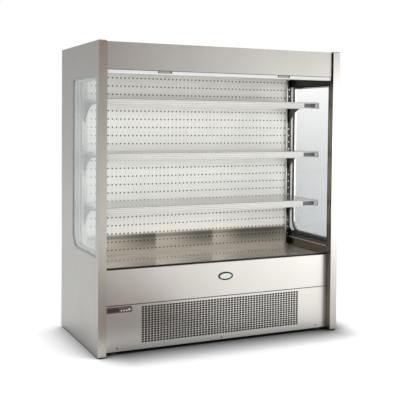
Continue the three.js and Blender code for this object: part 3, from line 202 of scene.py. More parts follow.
def front_shade(nodes, links):
    """The floor's brightness: a painted shadow close in front of the cabinet, and a little low far behind
    it.
    """
    forwards = way_along(nodes, links, "Y", FRONT_EDGE, FRONT_EDGE - FRONT_REACH)
    shade = nodes.new("ShaderNodeMix")
    fill(shade, {"A": 1.0})
    links.new(colour_ramp(nodes, links, forwards, grey_tones(FRONT_TONES)), shade.inputs["B"])
    inside = way_along(nodes, links, *SHADE_ENDS[0], smooth=True)
    for ends in SHADE_ENDS[1:]:
        inside = combined(nodes, links, "MULTIPLY", inside, way_along(nodes, links, *ends, smooth=True))
    links.new(inside, shade.inputs["Factor"])
    far = mapped(nodes, links, place_along(nodes, links, "Y"), *FAR_FLOOR, 1.0, FAR_TONE)
    return combined(nodes, links, "MULTIPLY", shade.outputs["Result"], far)


def stage_sheet(name, corners, material):
    """One flat sheet of the studio, which is no part of the cabinet."""
    mesh = bpy.data.meshes.new(name)
    mesh.from_pydata(corners, [], [range(len(corners))])
    mesh.materials.append(material)
    sheet = bpy.data.objects.new(name, mesh)
    scene.collection.objects.link(sheet)
    return sheet


def lying(x, y, z):
    """The corners of a level sheet between two values of x and two of y."""
    return [(x[0], y[0], z), (x[1], y[0], z), (x[1], y[1], z), (x[0], y[1], z)]


floor_paint = bpy.data.materials.new("floor_paint")
floor_paint.use_nodes = True
nodes = floor_paint.node_tree.nodes
links = floor_paint.node_tree.links
paint = nodes["Principled BSDF"]
fill(paint, {"Roughness": FLOOR_ROUGHNESS, "Specular IOR Level": FLOOR_SHINE})
near = nodes.new("ShaderNodeAmbientOcclusion")
fill(near, {"Distance": CONTACT_REACH})
contact = colour_ramp(nodes, links, near.outputs["AO"], grey_tones(CONTACT_TONES, FLOOR_WHITE))
links.new(contact, paint.inputs["Base Color"])
lift = nodes.new("ShaderNodeEmission")
fill(lift, {"Strength": FLOOR_LIFT})
links.new(contact, lift.inputs["Color"])
lifted = nodes.new("ShaderNodeAddShader")
links.new(paint.outputs[0], lifted.inputs[0])
links.new(lift.outputs[0], lifted.inputs[1])
unlit = nodes.new("ShaderNodeBsdfDiffuse")
fill(unlit, {"Color": (0, 0, 0, 1)})
share = front_shade(nodes, links)
shaded = mixed(nodes, links, share, unlit.outputs[0], lifted.outputs[0])
seen = seen_directly(nodes, links)
looks = mixed(nodes, links, seen, paint.outputs[0], shaded)
links.new(looks, nodes["Material Output"].inputs["Surface"])
stage_sheet("floor", lying(FLOOR_SPAN, FLOOR_SPAN, 0), floor_paint)
print("floor %.0f m across" % (FLOOR_SPAN[1] - FLOOR_SPAN[0]))

# %% [markdown]
# ## A grey card and three lamps
# Flat satin steel has no shade of its own. Its left side looks darker here because it mirrors
# something darker, so a tall grey card stands behind the viewer and to the left, and a second one
# lies on the floor in front, at the left, where only reflections can see them. A low soft box at
# the far right makes the bright end of the same sheets. Two more lamps light the front evenly and
# stay out of the reflections.

# %% Stand up the card
CARD_X, CARD_Y, CARD_TOP = (-8.0, 1.9), -8.0, 7.0
CARD_COLOUR = (0.26, 0.215, 0.18)
FLAG_X, FLAG_Y, FLAG_Z = (-2.6, 0.1), (-4.2, -0.75), 0.012
card_paint = bpy.data.materials.new("card_paint")
card_paint.use_nodes = True
nodes = card_paint.node_tree.nodes
card_glow = nodes.new("ShaderNodeEmission")
fill(card_glow, {"Color": (*CARD_COLOUR, 1), "Strength": 1.0})
card_paint.node_tree.links.new(card_glow.outputs[0], nodes["Material Output"].inputs["Surface"])
card = stage_sheet("grey_card", [
    (CARD_X[0], CARD_Y, 0), (CARD_X[1], CARD_Y, 0),
    (CARD_X[1], CARD_Y, CARD_TOP), (CARD_X[0], CARD_Y, CARD_TOP),
], card_paint)
flag = stage_sheet("floor_flag", lying(FLAG_X, FLAG_Y, FLAG_Z), card_paint)
for sheet in (card, flag):
    sheet.visible_camera = False
    sheet.visible_diffuse = False
    sheet.visible_transmission = False
    sheet.visible_shadow = False
print("card %.1f m wide" % (CARD_X[1] - CARD_X[0]))

# %% Hang the lamps
def soft_box(name, place, aim, size, power, mirrored):
    """A rectangular lamp that faces a point."""
    data = bpy.data.lights.new(name, "AREA")
    data.shape = "RECTANGLE"
    data.size, data.size_y = size
    data.energy = power
    lamp = bpy.data.objects.new(name, data)
    lamp.location = place
    lamp.rotation_euler = (Vector(aim) - Vector(place)).to_track_quat("-Z", "Y").to_euler()
    lamp.visible_glossy = mirrored
    scene.collection.objects.link(lamp)


MIDDLE = (0, 0, 1.0)
RIGHT_POST = (0.9, -0.4, 0.6)
soft_box("key", (1.8, -3.6, 4.6), MIDDLE, size=(4.0, 3.0), power=30, mirrored=False)
soft_box("front", (-0.6, -5.8, 1.6), MIDDLE, size=(3.4, 1.8), power=115, mirrored=False)
soft_box("glow", (6.2, -6.4, 0.8), RIGHT_POST, size=(3.8, 1.6), power=110, mirrored=True)

# %% [markdown]
# ## Tools for finishes
# Every finish is a Principled shader fed by noise that is measured on the piece itself, in metres.
# A brushed sheet is noise drawn out along one direction: it sets the roughness, a faint change of
# tone and a very low bump.

# %% A finish with its own noise
NOISE_ENDS = (0.3, 0.7)  # nearly all of the noise lies between these


def new_finish(name, colour, roughness, metallic=0.0):
    """A plain Principled material, with what is needed to change it."""
    material = bpy.data.materials.new(name)
    material.use_nodes = True
    shader = material.node_tree.nodes["Principled BSDF"]
    fill(shader, {"Base Color": (*colour, 1), "Roughness": roughness, "Metallic": metallic})
    material.diffuse_color = (*colour, 1)
    return material, material.node_tree.nodes, material.node_tree.links, shader


def noise_on(nodes, links, stretch, detail=2.0):
    """Noise with this many waves to the metre along X, Y and Z of the piece."""
    place = nodes.new("ShaderNodeTexCoord")
    spread = nodes.new("ShaderNodeMapping")
    fill(spread, {"Scale": stretch})
    noise = nodes.new("ShaderNodeTexNoise")
    fill(noise, {"Scale": 1.0, "Detail": detail})
    links.new(place.outputs["Object"], spread.inputs["Vector"])
    links.new(spread.outputs["Vector"], noise.inputs["Vector"])
    return noise.outputs["Fac"]


def spread_to(nodes, links, value, low, high):
    """Turn noise, which stays near a half, into a value between two ends."""
    return mapped(nodes, links, value, *NOISE_ENDS, low, high)


def vary_colour(nodes, links, shader, value, colour, share):
    """Let the colour drift between a darker and a paler tone of itself."""
    mix = nodes.new("ShaderNodeMix")
    mix.data_type = "RGBA"
    dark, pale = [tuple(min(c * (1 + s), 1.0) for c in colour) for s in (-share, share)]
    fill(mix, {"A": (*dark, 1), "B": (*pale, 1)})
    links.new(spread_to(nodes, links, value, 0, 1), mix.inputs["Factor"])
    links.new(mix.outputs["Result"], shader.inputs["Base Color"])


def press_in(nodes, links, shader, value, height):
    """Let noise raise and sink the surface by up to this height, in metres."""
    bump = nodes.new("ShaderNodeBump")
    fill(bump, {"Strength": 1.0, "Distance": height})
    links.new(value, bump.inputs["Height"])
    links.new(bump.outputs["Normal"], shader.inputs["Normal"])

# %% Steel, brushed along one direction
ALONG_X = (4, 900, 900)  # waves to the metre along X, Y and Z
ALONG_Z = (900, 900, 4)
MOTTLED = (60, 60, 60)
SHEET_CLOUDS = (2.2, 2.2, 1.6)
BRUSH_SPREAD = 0.15  # share by which the roughness changes from streak to streak


def brushed(name, colour, roughness, direction, tone=0.04, height=0.00001, metallic=1.0):
    """Metal with fine streaks and faint clouds of tone."""
    material, nodes, links, shader = new_finish(name, colour, roughness, metallic)
    streaks = noise_on(nodes, links, direction)
    clouds = noise_on(nodes, links, SHEET_CLOUDS, detail=3.0)
    vary_colour(nodes, links, shader, clouds, colour, tone)
    ends = roughness * (1 - BRUSH_SPREAD), roughness * (1 + BRUSH_SPREAD)
    links.new(spread_to(nodes, links, streaks, *ends), shader.inputs["Roughness"])
    press_in(nodes, links, shader, streaks, height)
    return material

# %% Plastics, rubber and paint
PLASTIC_CLOUDS = (9, 9, 9)
GRAIN_SPREAD = 0.1


def moulded(name, colour, roughness, grain=1500, height=0.00002, tone=0.03):
    """Plastic, rubber or paint with a fine grain of so many specks to the metre."""
    material, nodes, links, shader = new_finish(name, colour, roughness)
    specks = noise_on(nodes, links, (grain, grain, grain), detail=1.0)
    clouds = noise_on(nodes, links, PLASTIC_CLOUDS)
    vary_colour(nodes, links, shader, clouds, colour, tone)
    ends = roughness * (1 - GRAIN_SPREAD), roughness * (1 + GRAIN_SPREAD)
    links.new(spread_to(nodes, links, specks, *ends), shader.inputs["Roughness"])
    press_in(nodes, links, shader, specks, height)
    return material

# %% A finish that changes from place to place
def tint(material, axis, low, high, tones, where=None):
    """Multiply a finish's colour by tones of (share of the way along an axis, colour)."""
    nodes, links = material.node_tree.nodes, material.node_tree.links
    tone = colour_ramp(nodes, links, way_along(nodes, links, axis, low, high), tones)
    shader = nodes["Principled BSDF"]
    before = shader.inputs["Base Color"].links[0].from_socket
    darken = nodes.new("ShaderNodeMix")
    darken.data_type = "RGBA"
    darken.blend_type = "MULTIPLY"
    fill(darken, {"Factor": 1.0})
    links.new(before, darken.inputs["A"])
    links.new(tone, darken.inputs["B"])
    if where:
        links.new(where, darken.inputs["Factor"])
    links.new(darken.outputs["Result"], shader.inputs["Base Color"])

# %% A soft band
def band(nodes, links, axis, edges):
    """1 between the two middle edges, 0 outside the outer two, and soft in between."""
    rise = way_along(nodes, links, axis, edges[0], edges[1], smooth=True)
    fall = way_along(nodes, links, axis, edges[3], edges[2], smooth=True)
    return combined(nodes, links, "MULTIPLY", rise, fall)

# %% [markdown]
# ## The finishes of this cabinet
# The outer skin is satin stainless steel with a warm tone. Inside, the back sheet is paler, and the
# trays and shelves are polished until the back sheet shows in them. The panes are mostly clear and
# faintly blue-green; low down each lays a thin flat colour over the view, which on the left pane is
# a painted reflection.

# %% Mix the finishes
SKIN = brushed("skin_steel", (0.54, 0.52, 0.49), 0.35, ALONG_X)
# One steel on both posts: a darker copy on the left as painted shade, a paler one on the right as painted
# light.
POST_SKIN = {
    "left": brushed("post_steel_left", (0.52, 0.495, 0.46), 0.34, ALONG_Z),
    "right": brushed("post_steel_right", (0.60, 0.585, 0.565), 0.34, ALONG_Z),
}
# Painted shade: the outer side is darker than the front, and the face towards the goods darker still.
SIDE_SKIN = brushed("side_steel", (0.365, 0.36, 0.345), 0.38, ALONG_Z)
INNER_SKIN = brushed("inner_steel", (0.25, 0.22, 0.18), 0.3, ALONG_Z)
# Painted highlight on the ledge under a window, paler than the inner face around it.
LEDGE_SKIN = moulded("bright_ledge", (0.42, 0.40, 0.365), 0.4)
BACK_SHEET = moulded("back_sheet", (0.90, 0.90, 0.865), 0.45, 400, 0.00001, 0.02)
FASCIA_SKIN = brushed("fascia_steel", (0.44, 0.42, 0.395), 0.35, ALONG_X)
POLISHED = brushed("polished_tray", (0.93, 0.895, 0.84), 0.10, ALONG_X, 0.03, 0.000001, 0.62)
SHADED_FOLD = brushed("shaded_fold", (0.17, 0.16, 0.148), 0.3, ALONG_X, 0.03)
SHELF_STEEL = brushed("shelf_steel", (0.60, 0.585, 0.56), 0.2, ALONG_X, 0.03, 0.000004)
ZINC = brushed("zinc_sheet", (0.42, 0.43, 0.43), 0.45, MOTTLED, 0.14)
PALE_ZINC = brushed("pale_zinc", (0.72, 0.72, 0.70), 0.45, ALONG_Z, 0.04)
# Painted shade: both finishes of the brackets are dark because the brackets stand in shade.
SHADED_BRACKET = brushed("shaded_bracket", (0.055, 0.062, 0.066), 0.5, ALONG_Z, 0.1)
DARK_BRACKET = brushed("dark_bracket", (0.13, 0.125, 0.115), 0.4, ALONG_Z, 0.1)
# Painted shade: the return-air strip is dark to draw the shade of the gap before the deck.
DARK_STRIP = brushed("shaded_strip", (0.09, 0.085, 0.08), 0.4, ALONG_X, 0.1)
# Painted shade on the slotted strip over the right-hand upright's front; the panel screws share it.
DARK_ZINC = brushed("slotted_strip", (0.05, 0.047, 0.042), 0.4, ALONG_Z, 0.1)
FIN_METAL = brushed("fin_metal", (0.62, 0.63, 0.64), 0.4, ALONG_Z)
SPACER = brushed("spacer_bar", (0.70, 0.70, 0.69), 0.3, ALONG_Z)
WHITE_SHEET = moulded("white_sheet", (0.80, 0.80, 0.78), 0.4, 400)
REVEAL = moulded("pale_reveal", (0.80, 0.78, 0.72), 0.4, 400)
BAR_WHITE = moulded("bar_white", (0.52, 0.52, 0.52), 0.35)
GRIP_TAUPE = moulded("grip_taupe", (0.30, 0.275, 0.25), 0.5)
GRIP_DARK = moulded("grip_dark", (0.05, 0.045, 0.04), 0.5)
RAIL_WHITE = moulded("rail_white", (0.54, 0.53, 0.50), 0.3)
# Painted shade on the rail faces that do not look forwards.
RAIL_GREY = moulded("rail_grey", (0.36, 0.345, 0.32), 0.35)
SLATE = moulded("slate_insert", (0.085, 0.093, 0.098), 0.35)
BEZEL = moulded("grey_bezel", (0.060, 0.053, 0.049), 0.5)
BLACK_PLASTIC = moulded("black_plastic", (0.018, 0.018, 0.018), 0.45)
DISPLAY = moulded("tinted_display", (0.040, 0.018, 0.013), 0.2, 300, 0.000002)
# Grey for the left window's edge, as a painted reflection of the glass over it.
SEAL_GREY = moulded("seal_grey", (0.50, 0.51, 0.50), 0.5)
SEAL_BAR = moulded("seal_bar", (0.42, 0.44, 0.44), 0.6)
RUBBER_SIDE = moulded("grey_rubber", (0.36, 0.36, 0.35), 0.6, 700, 0.00004)
RUBBER = moulded("black_rubber", (0.02, 0.02, 0.02), 0.7, 700, 0.00004)
BLACK_PAINT = moulded("black_paint", (0.02, 0.02, 0.022), 0.3, 300)
GREY_PLASTIC = moulded("grey_plastic", (0.16, 0.15, 0.14), 0.5)
# Near black: painted shade behind the holes of the grille and of the back sheet.
SHADE_BLACK = moulded("shade_behind_holes", (0.012, 0.011, 0.010), 0.9, 260, 0.0002)
CLOTH = moulded("blind_cloth", (0.40, 0.405, 0.40), 0.8, 1200, 0.00006)

# %% Shade the finishes from place to place
# Painted shade: the back sheet is a little darker and warmer low down and at the top, under the canopy.
tint(BACK_SHEET, "Z", 0.70, 1.81, [
    (0.0, (0.97, 0.95, 0.91)), (1.0, (1, 0.985, 0.94)), (0.15, (1, 1, 1)), (0.80, (1, 1, 0.985)),
])
# Painted shade: the inner face darkens under the canopy, and the outer side towards the top.
tint(INNER_SKIN, "Z", 1.70, 1.80, [(0.0, (1, 1, 1)), (0.6, (0.25, 0.25, 0.25))])
tint(SIDE_SKIN, "Z", 1.0, 1.98, [(0.0, (1, 1, 1)), (1.0, (0.70, 0.69, 0.68))])
# Painted light and shade on the posts: the left one darkens towards the top; the right one is dark low
# down, with a painted highlight from the middle up.
tint(POST_SKIN["left"], "Z", 0.0, 1.98, [
    (0.0, (1, 1, 0.99)), (1.0, (0.66, 0.64, 0.61)), (0.25, (1, 1, 0.99)), (0.6, (1, 1, 1)),
])
tint(POST_SKIN["right"], "Z", 0.0, 1.98, [
    (0.0, (0.60, 0.585, 0.565)), (1.0, (0.76, 0.745, 0.73)),
    (0.30, (0.75, 0.74, 0.72)), (0.50, (1, 1, 1)), (0.78, (1, 1, 1)),
])
print("finishes tinted from low to high")

# %% Paint reflections on the foot of the back sheet
# Low down, where the back sheet meets the deck, a painted reflection makes it taupe with a soft dark
# line on top. Under that line lie three darker smears of painted reflection, each deepest towards
# its right-hand end. They are painted into the finish.
LOW_ZONE = ((0.40, 0.45, 0.660, 0.686), (0.54, 0.505, 0.465))  # (heights, colour)
DARK_LINE = ((0.640, 0.660, 0.674, 0.690), (0.50, 0.48, 0.455))
DARK_REFLECTIONS = ((0.530, 0.632, 0.670, 0.692), (0.34, 0.32, 0.295))
DARK_REFLECTION_ENDS = ((-0.62, -0.33, -0.285, -0.262), (-0.22, 0.10, 0.165, 0.19), (0.20, 0.44, 0.60, 1.10))
SHEET_HEIGHTS = (0.5, 1.8)  # any two do, because each painted reflection has one colour all the way


def paint_reflection(heights, colour, ends=None):
    """Paint a darker reflection on the back sheet between heights, and between two ends where given."""
    nodes, links = BACK_SHEET.node_tree.nodes, BACK_SHEET.node_tree.links
    where = band(nodes, links, "Z", heights)
    if ends:
        where = combined(nodes, links, "MULTIPLY", where, band(nodes, links, "X", ends))
    tint(BACK_SHEET, "Z", *SHEET_HEIGHTS, [(0.0, colour), (1.0, colour)], where)


paint_reflection(*LOW_ZONE)
paint_reflection(*DARK_LINE)
for ends in DARK_REFLECTION_ENDS:
    paint_reflection(*DARK_REFLECTIONS, ends)
print("painted_reflections:", 2 + len(DARK_REFLECTION_ENDS))

# %% Mix the glass
WINDOW_HEIGHTS = (0.62, 1.76)
HAZE_CLOUDS = (1.2, 1.2, 1.2)
HAZE_SPREAD = 1.6  # the roughest glass, as a multiple of the clearest


def clear_pane(name, colour, low_cover, high_cover, roughness=0.03):
    """Clear glass: cover is the share of the light that each of its faces hides, low and high up."""
    material, nodes, links, shader = new_finish(name, colour, roughness)
    way = way_along(nodes, links, "Z", *WINDOW_HEIGHTS)
    links.new(mapped(nodes, links, way, 0.0, 1.0, low_cover, high_cover), shader.inputs["Alpha"])
    clouds = noise_on(nodes, links, HAZE_CLOUDS, detail=1.0)
    haze = spread_to(nodes, links, clouds, roughness, roughness * HAZE_SPREAD)
    links.new(haze, shader.inputs["Roughness"])
    return material


# Low down the left pane lays a pale cover over the view, a painted reflection; the right one lays a dark
# blue-grey there, and almost none high up.
GLASS = {
    "left": clear_pane("window_glass_left", (0.88, 0.94, 0.93), 0.20, 0.13),
    "right": clear_pane("window_glass_right", (0.30, 0.38, 0.41), 0.22, 0.005),
}
CLEAR = clear_pane("clear_plastic", (0.70, 0.74, 0.76), 0.4, 0.4, 0.1)
print("finishes:", len(bpy.data.materials))

# %% [markdown]
# ## Tools for shapes
# Folded sheet and moulded plastic never end in a knife edge. The first tool takes the form of a
# solid as it stands, clears the flat faces of their cuts, and rounds each fold by about the radius
# of the bend, so that it catches the light. The others draw a section out, turn a profile, frame an
# opening, or punch a field of holes.

# %% Link a mesh as a piece of the cabinet
CREASE = math.radians(32)  # edges that bend more than this count as folds
FOLD_STEPS = 2
BROAD_FACES = 100  # 50 would weigh all faces alike, and more gives the broad ones the say


def as_object(name, bm, *finishes):
    """Turn a bmesh into an object of the scene."""
    mesh = bpy.data.meshes.new(name)
    bm.to_mesh(mesh)
    bm.free()
    for finish in finishes:
        mesh.materials.append(finish)
    made = bpy.data.objects.new(name, mesh)
    scene.collection.objects.link(made)
    return made


def as_piece(name, bm, body, slot, *finishes):
    """Turn a bmesh into a piece that rides on a body."""
    bmesh.ops.recalc_face_normals(bm, faces=bm.faces)
    piece = as_object(name, bm, *finishes)
    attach(piece, body)
    return piece


def smooth_folds(bm, width):
    """Round every edge that is sharper than a crease, and let the roundings shade smoothly."""
    sharp = [e for e in bm.edges if e.is_manifold and e.calc_face_angle(0) > CREASE]
    roundings = bmesh.ops.bevel(
        bm, geom=sharp, offset=width, segments=FOLD_STEPS, profile=0.5, affect="EDGES", clamp_overlap=True
    )
    for face in roundings["faces"]:
        face.smooth = True
    return len(sharp)


def weigh_normals(piece):
    """Shade a piece smoothly, with its broad faces kept flat."""
    for polygon in piece.data.polygons:
        polygon.use_smooth = True
    weigh = piece.modifiers.new("weigh", "WEIGHTED_NORMAL")
    weigh.keep_sharp = True
    weigh.weight = BROAD_FACES

# %% Round the folds of a solid
SAME_PLACE = 0.00001  # corners nearer than this are one
FLAT = math.radians(0.5)
AREA_SLACK = 0.0005  # share of the area that may change when triangles are joined


def clear_cuts(bm):
    """Join the triangles of flat faces, unless that would close an opening."""
    area = sum(face.calc_area() for face in bm.faces)
    joined = bm.copy()
    bmesh.ops.dissolve_limit(joined, angle_limit=FLAT, verts=joined.verts, edges=joined.edges)
    joined_area = sum(face.calc_area() for face in joined.faces)
    if abs(joined_area - area) < AREA_SLACK * area:
        bm.free()
        return joined
    joined.free()
    return bm


def soften(node, body, slot, *finishes, width, choose=None):
    """A copy of a solid with its folds rounded by this width, which then stands for it."""
    bm = bmesh.new()
    bm.from_mesh(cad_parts[node].data)
    bmesh.ops.remove_doubles(bm, verts=bm.verts, dist=SAME_PLACE)
    bm = clear_cuts(bm)
    count = smooth_folds(bm, width)
    bmesh.ops.recalc_face_normals(bm, faces=bm.faces)
    bm.normal_update()
    if choose:
        for face in bm.faces:
            face.material_index = choose(face)
    piece = as_piece(node + "_dressed", bm, body, slot, *finishes)
    weigh_normals(piece)
    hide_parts(node)
    print("%s: %d folds" % (node, count))

# %% Draw out a section, turn a profile
def drawn(bm, outline, x0, x1, material=0):
    """Draw a closed (y, z) outline out along X, with its two ends closed."""
    ends = [[bm.verts.new((x, y, z)) for y, z in outline] for x in (x0, x1)]
    faces = [bm.faces.new(ends[0]), bm.faces.new(ends[1][::-1])]
    for i in range(len(outline)):
        j = (i + 1) % len(outline)
        faces.append(bm.faces.new((ends[0][i], ends[1][i], ends[1][j], ends[0][j])))
    for face in faces:
        face.material_index = material


def slab(bm, x, y, z, material=0):
    """A plain block between two values each of x, y and z."""
    (y0, y1), (z0, z1) = y, z
    drawn(bm, [(y0, z0), (y1, z0), (y1, z1), (y0, z1)], *x, material)


def slab_piece(name, x, y, z, body, slot, finish):
    """A piece that is one plain block."""
    bm = bmesh.new()
    slab(bm, x, y, z)
    as_piece(name, bm, body, slot, finish)


def lining(name, low, high, inset, depths, slot, finish):
    """A sheet behind the face of a box, this far in from its edges."""
    x, z = (low.x + inset, high.x - inset), (low.z + inset, high.z - inset)
    slab_piece(name, x, [low.y + depth for depth in depths], z, "cabinet", slot, finish)


def turned(bm, profile, centre, axis, steps=24):
    """Turn a profile of (radius, distance) about an axis; it starts and ends on the axis."""
    lean = Vector((0, 0, 1)).rotation_difference(Vector(axis)).to_matrix()
    rings = []
    for radius, along in profile:
        ring = []
        for i in range(steps if radius else 1):
            angle = 2 * math.pi * i / steps
            spot = Vector((radius * math.cos(angle), radius * math.sin(angle), along))
            ring.append(bm.verts.new(Vector(centre) + lean @ spot))
        rings.append(ring)
    for low, high in zip(rings, rings[1:]):
        for i in range(steps):
            j = (i + 1) % steps
            corners = [low[i % len(low)], low[j % len(low)], high[j % len(high)], high[i % len(high)]]
            face = bm.faces.new(list(dict.fromkeys(corners)))
            face.smooth = True

# %% Draw a rounded outline, and a frame between two of them
def rounded(across, up, radii, steps=8):
    """An outline with its own radius at each corner: low front, low rear, high rear, high front."""
    (y0, y1), (z0, z1) = across, up
    a, b, c, d = radii
    points = []
    for y, z, r, start in (
        (y0 + a, z0 + a, a, 180), (y1 - b, z0 + b, b, 270), (y1 - c, z1 - c, c, 0), (y0 + d, z1 - d, d, 90),
    ):
        for i in range(steps + 1):
            angle = math.radians(start + 90 * i / steps)
            points.append((y + r * math.cos(angle), z + r * math.sin(angle)))
    return points


def framed(bm, outer, inner, x0, x1, material=0):
    """A ring between two outlines that have as many points, drawn out along X."""
    loops = [[bm.verts.new((x, y, z)) for y, z in line] for x in (x0, x1) for line in (outer, inner)]
    for a, b in ((0, 1), (1, 3), (3, 2), (2, 0)):
        for i in range(len(outer)):
            j = (i + 1) % len(outer)
            face = bm.faces.new((loops[a][i], loops[a][j], loops[b][j], loops[b][i]))
            face.material_index = material

# %% Punch a field of holes into a sheet
def hole_outline(half_wide, half_high, squareness, steps):
    """An oval hole; squareness 2 is round, and higher values fill out its corners."""
    points = []
    for i in range(steps):
        angle = math.pi / 4 + 2 * math.pi * i / steps
        c, s = math.cos(angle), math.sin(angle)
        points.append((
            half_wide * math.copysign(abs(c) ** (2 / squareness), c),
            half_high * math.copysign(abs(s) ** (2 / squareness), s),
        ))
    return points


def punched_sheet(bm, x, z, front, thick, columns, rows, pitch, hole):
    """A flat sheet facing -Y, with one hole in each cell of a field."""
    lines = []
    for (low, high), centres, step in ((x, columns, pitch[0]), (z, rows, pitch[1])):
        edges = [centres[0] - step / 2] + [c + step / 2 for c in centres]
        lines.append([low] + edges + [high])
    grids = []
    for y in (front, front + thick):
        grids.append([[bm.verts.new((u, y, v)) for v in lines[1]] for u in lines[0]])
    quarter = len(hole) // 4
    for i in range(len(lines[0]) - 1):
        for j in range(len(lines[1]) - 1):
            inside = 0 < i < len(lines[0]) - 2 and 0 < j < len(lines[1]) - 2
            corners = [[g[i + 1][j + 1], g[i][j + 1], g[i][j], g[i + 1][j]] for g in grids]
            if not inside:
                for four in corners:
                    bm.faces.new(four)
                continue
            rims = []
            for g, y in zip(grids, (front, front + thick)):
                rims.append([bm.verts.new((columns[i - 1] + u, y, rows[j - 1] + v)) for u, v in hole])
            for four, rim in zip(corners, rims):
                for side in range(4):
                    arc = [rim[(side * quarter + k) % len(hole)] for k in range(quarter + 1)]
                    bm.faces.new([four[side], *arc, four[(side + 1) % 4]])
            for k in range(len(hole)):
                n = (k + 1) % len(hole)
                bm.faces.new((rims[0][k], rims[0][n], rims[1][n], rims[1][k]))
    close_rim(bm, grids)


def close_rim(bm, grids):
    """Join the front and the back of a sheet along its four edges."""
    fronts, backs = grids
    for line in (0, -1):
        for j in range(len(fronts[0]) - 1):
            bm.faces.new((fronts[line][j], fronts[line][j + 1], backs[line][j + 1], backs[line][j]))
        for i in range(len(fronts) - 1):
            bm.faces.new((fronts[i][line], fronts[i + 1][line], backs[i + 1][line], backs[i][line]))

# %% [markdown]
# ## End panels
# Each end is one foam-filled slab in a folded steel skin, with a window cut through it. Its outer
# face is satin. The face towards the goods is painted darker as shade, since it mostly sees the
# inside of the cabinet, and the outer side, the posts and the ledge under a window carry painted
# shade and highlights too. One mesh carries all its finishes, chosen by where a face lies and which
# way it looks.

# %% Dress the end panels
# Distances from the middle of the cabinet.
LEDGE_FACE = 0.826  # nearer than this is the ledge under a window
INNER_FACE = 0.832  # just beyond the inner faces of the end panels
PANE_FACE = 0.8605  # just beyond the inner faces of the panes
OUTER_RIM = 0.8705  # halfway through the panes, and past it the gasket's outer rim
# On the left, the grey of the gasket's edge, the sealant and the bar is painted reflection.
PANE_EDGE = {"left": (SEAL_GREY, SEAL_GREY, SEAL_BAR), "right": (REVEAL, RUBBER, SPACER)}
# How much of a face's normal has to point one way for the face to count as looking that way.
PARTLY, CLEARLY, MOSTLY, SQUARELY = 0.5, 0.6, 0.7, 0.9


def looks_forwards(face, share):
    """True where a face looks forwards, to -Y, by more than this share."""
    return face.normal.y < -share


def end_finish(side):
    """Choose between the outer side, the inner side, the post and the ledge under the window."""
    def choose(face):
        away = abs(face.calc_center_median().x)
        inwards = -side * face.normal.x
        if inwards > PARTLY and away < LEDGE_FACE:
            return 3
        if inwards > PARTLY or away < INNER_FACE:
            return 1
        return 2 if looks_forwards(face, MOSTLY) else 0
    return choose


def gasket_finish(face):
    """Black, with a grey outer rim; the rear edge on the goods' side of the pane has its own tone."""
    away = abs(face.calc_center_median().x)
    if away > OUTER_RIM:
        return 2
    return 1 if looks_forwards(face, CLEARLY) and away < PANE_FACE else 0


for name, side in (("left", -1), ("right", 1)):
    soften(
        "end_panel_" + name, "cabinet", "steel_skin", SIDE_SKIN, INNER_SKIN, POST_SKIN[name], LEDGE_SKIN,
        width=0.002, choose=end_finish(side),
    )
    soften(
        "window_gasket_" + name, "cabinet", "black_rubber", RUBBER, PANE_EDGE[name][0], RUBBER_SIDE,
        width=0.0008, choose=gasket_finish,
    )

# %% [markdown]
# ## The sealed panes
# Each window is two sheets of glass with sealant and then an aluminium bar between their edges.
# At a slant the right one's edge shows as a black band and then a bright one. The left one's edge
# is seen from outside, through the glass, and its grey is a painted reflection of that glass.

# %% Build the panes
SHEET_GLASS = 0.004
PANE_RADII = (0.008, 0.101, 0.028, 0.008)  # low front, low rear, high rear, high front
SEALANT = 0.016
SPACER_WIDE = 0.009
LEAST_RADIUS = 0.002
CLEARANCE = 0.0001
for name in ("left", "right"):
    low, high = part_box("window_glass_" + name)
    bm = bmesh.new()
    lines = []
    for inset in (0, SEALANT, SEALANT + SPACER_WIDE):
        radii = [max(r - inset, LEAST_RADIUS) for r in PANE_RADII]
        lines.append(rounded((low.y + inset, high.y - inset), (low.z + inset, high.z - inset), radii))
    for x0 in (low.x, high.x - SHEET_GLASS):
        drawn(bm, lines[0], x0, x0 + SHEET_GLASS)
    inside = (low.x + SHEET_GLASS + CLEARANCE, high.x - SHEET_GLASS - CLEARANCE)
    framed(bm, lines[0], lines[1], *inside, 1)
    framed(bm, lines[1], lines[2], *inside, 2)
    seal, bar = PANE_EDGE[name][1:]
    pane = as_piece("sealed_pane_" + name, bm, "cabinet", "clear_glass", GLASS[name], seal, bar)
    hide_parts("window_glass_" + name)
    print("pane %s: %.0f x %.0f mm" % (name, 1000 * (high.y - low.y), 1000 * (high.z - low.z)))

# %% [markdown]
# ## Front, roof and back
# The fascia, both front panels, the roof and the rear wall are folded from the same satin sheet.

# %% Dress the plain sheet
for node, finish in (
    ("rear_wall", SKIN), ("roof_panel", SKIN), ("fascia", FASCIA_SKIN), ("upper_front_panel", SKIN),
):
    soften(node, "cabinet", "steel_skin", finish, width=0.0016)
soften("canopy_liner", "cabinet", "white_sheet", WHITE_SHEET, width=0.0006)
soften("canopy_light", "cabinet", "white_plastic", WHITE_SHEET, width=0.0008)

# %% Drive the screws
SCREW_PLACES = ((-0.743, 0.040), (-0.006, 0.034), (0.743, 0.040))
SCREW_HEAD = ((0.0052, 0), (0.0050, 0.0006), (0.0036, 0.0016), (0.0014, 0.0020), (0, 0.0020))
low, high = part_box("lower_front_panel")
bm = bmesh.new()
for x, z in SCREW_PLACES:
    turned(bm, ((0, 0), *SCREW_HEAD), (x, low.y, z), axis=(0, -1, 0))
as_piece("panel_screws", bm, "cabinet", "bright_steel", DARK_ZINC)
print("screws:", len(SCREW_PLACES))

# %% [markdown]
# ## The punched grille
# Warm air leaves through a field of small oblong holes in the lower front panel. The field is built
# cell by cell: each cell is a small oblong of sheet with one hole, and neighbouring cells share
# their corners. That gives clean edges to every hole.

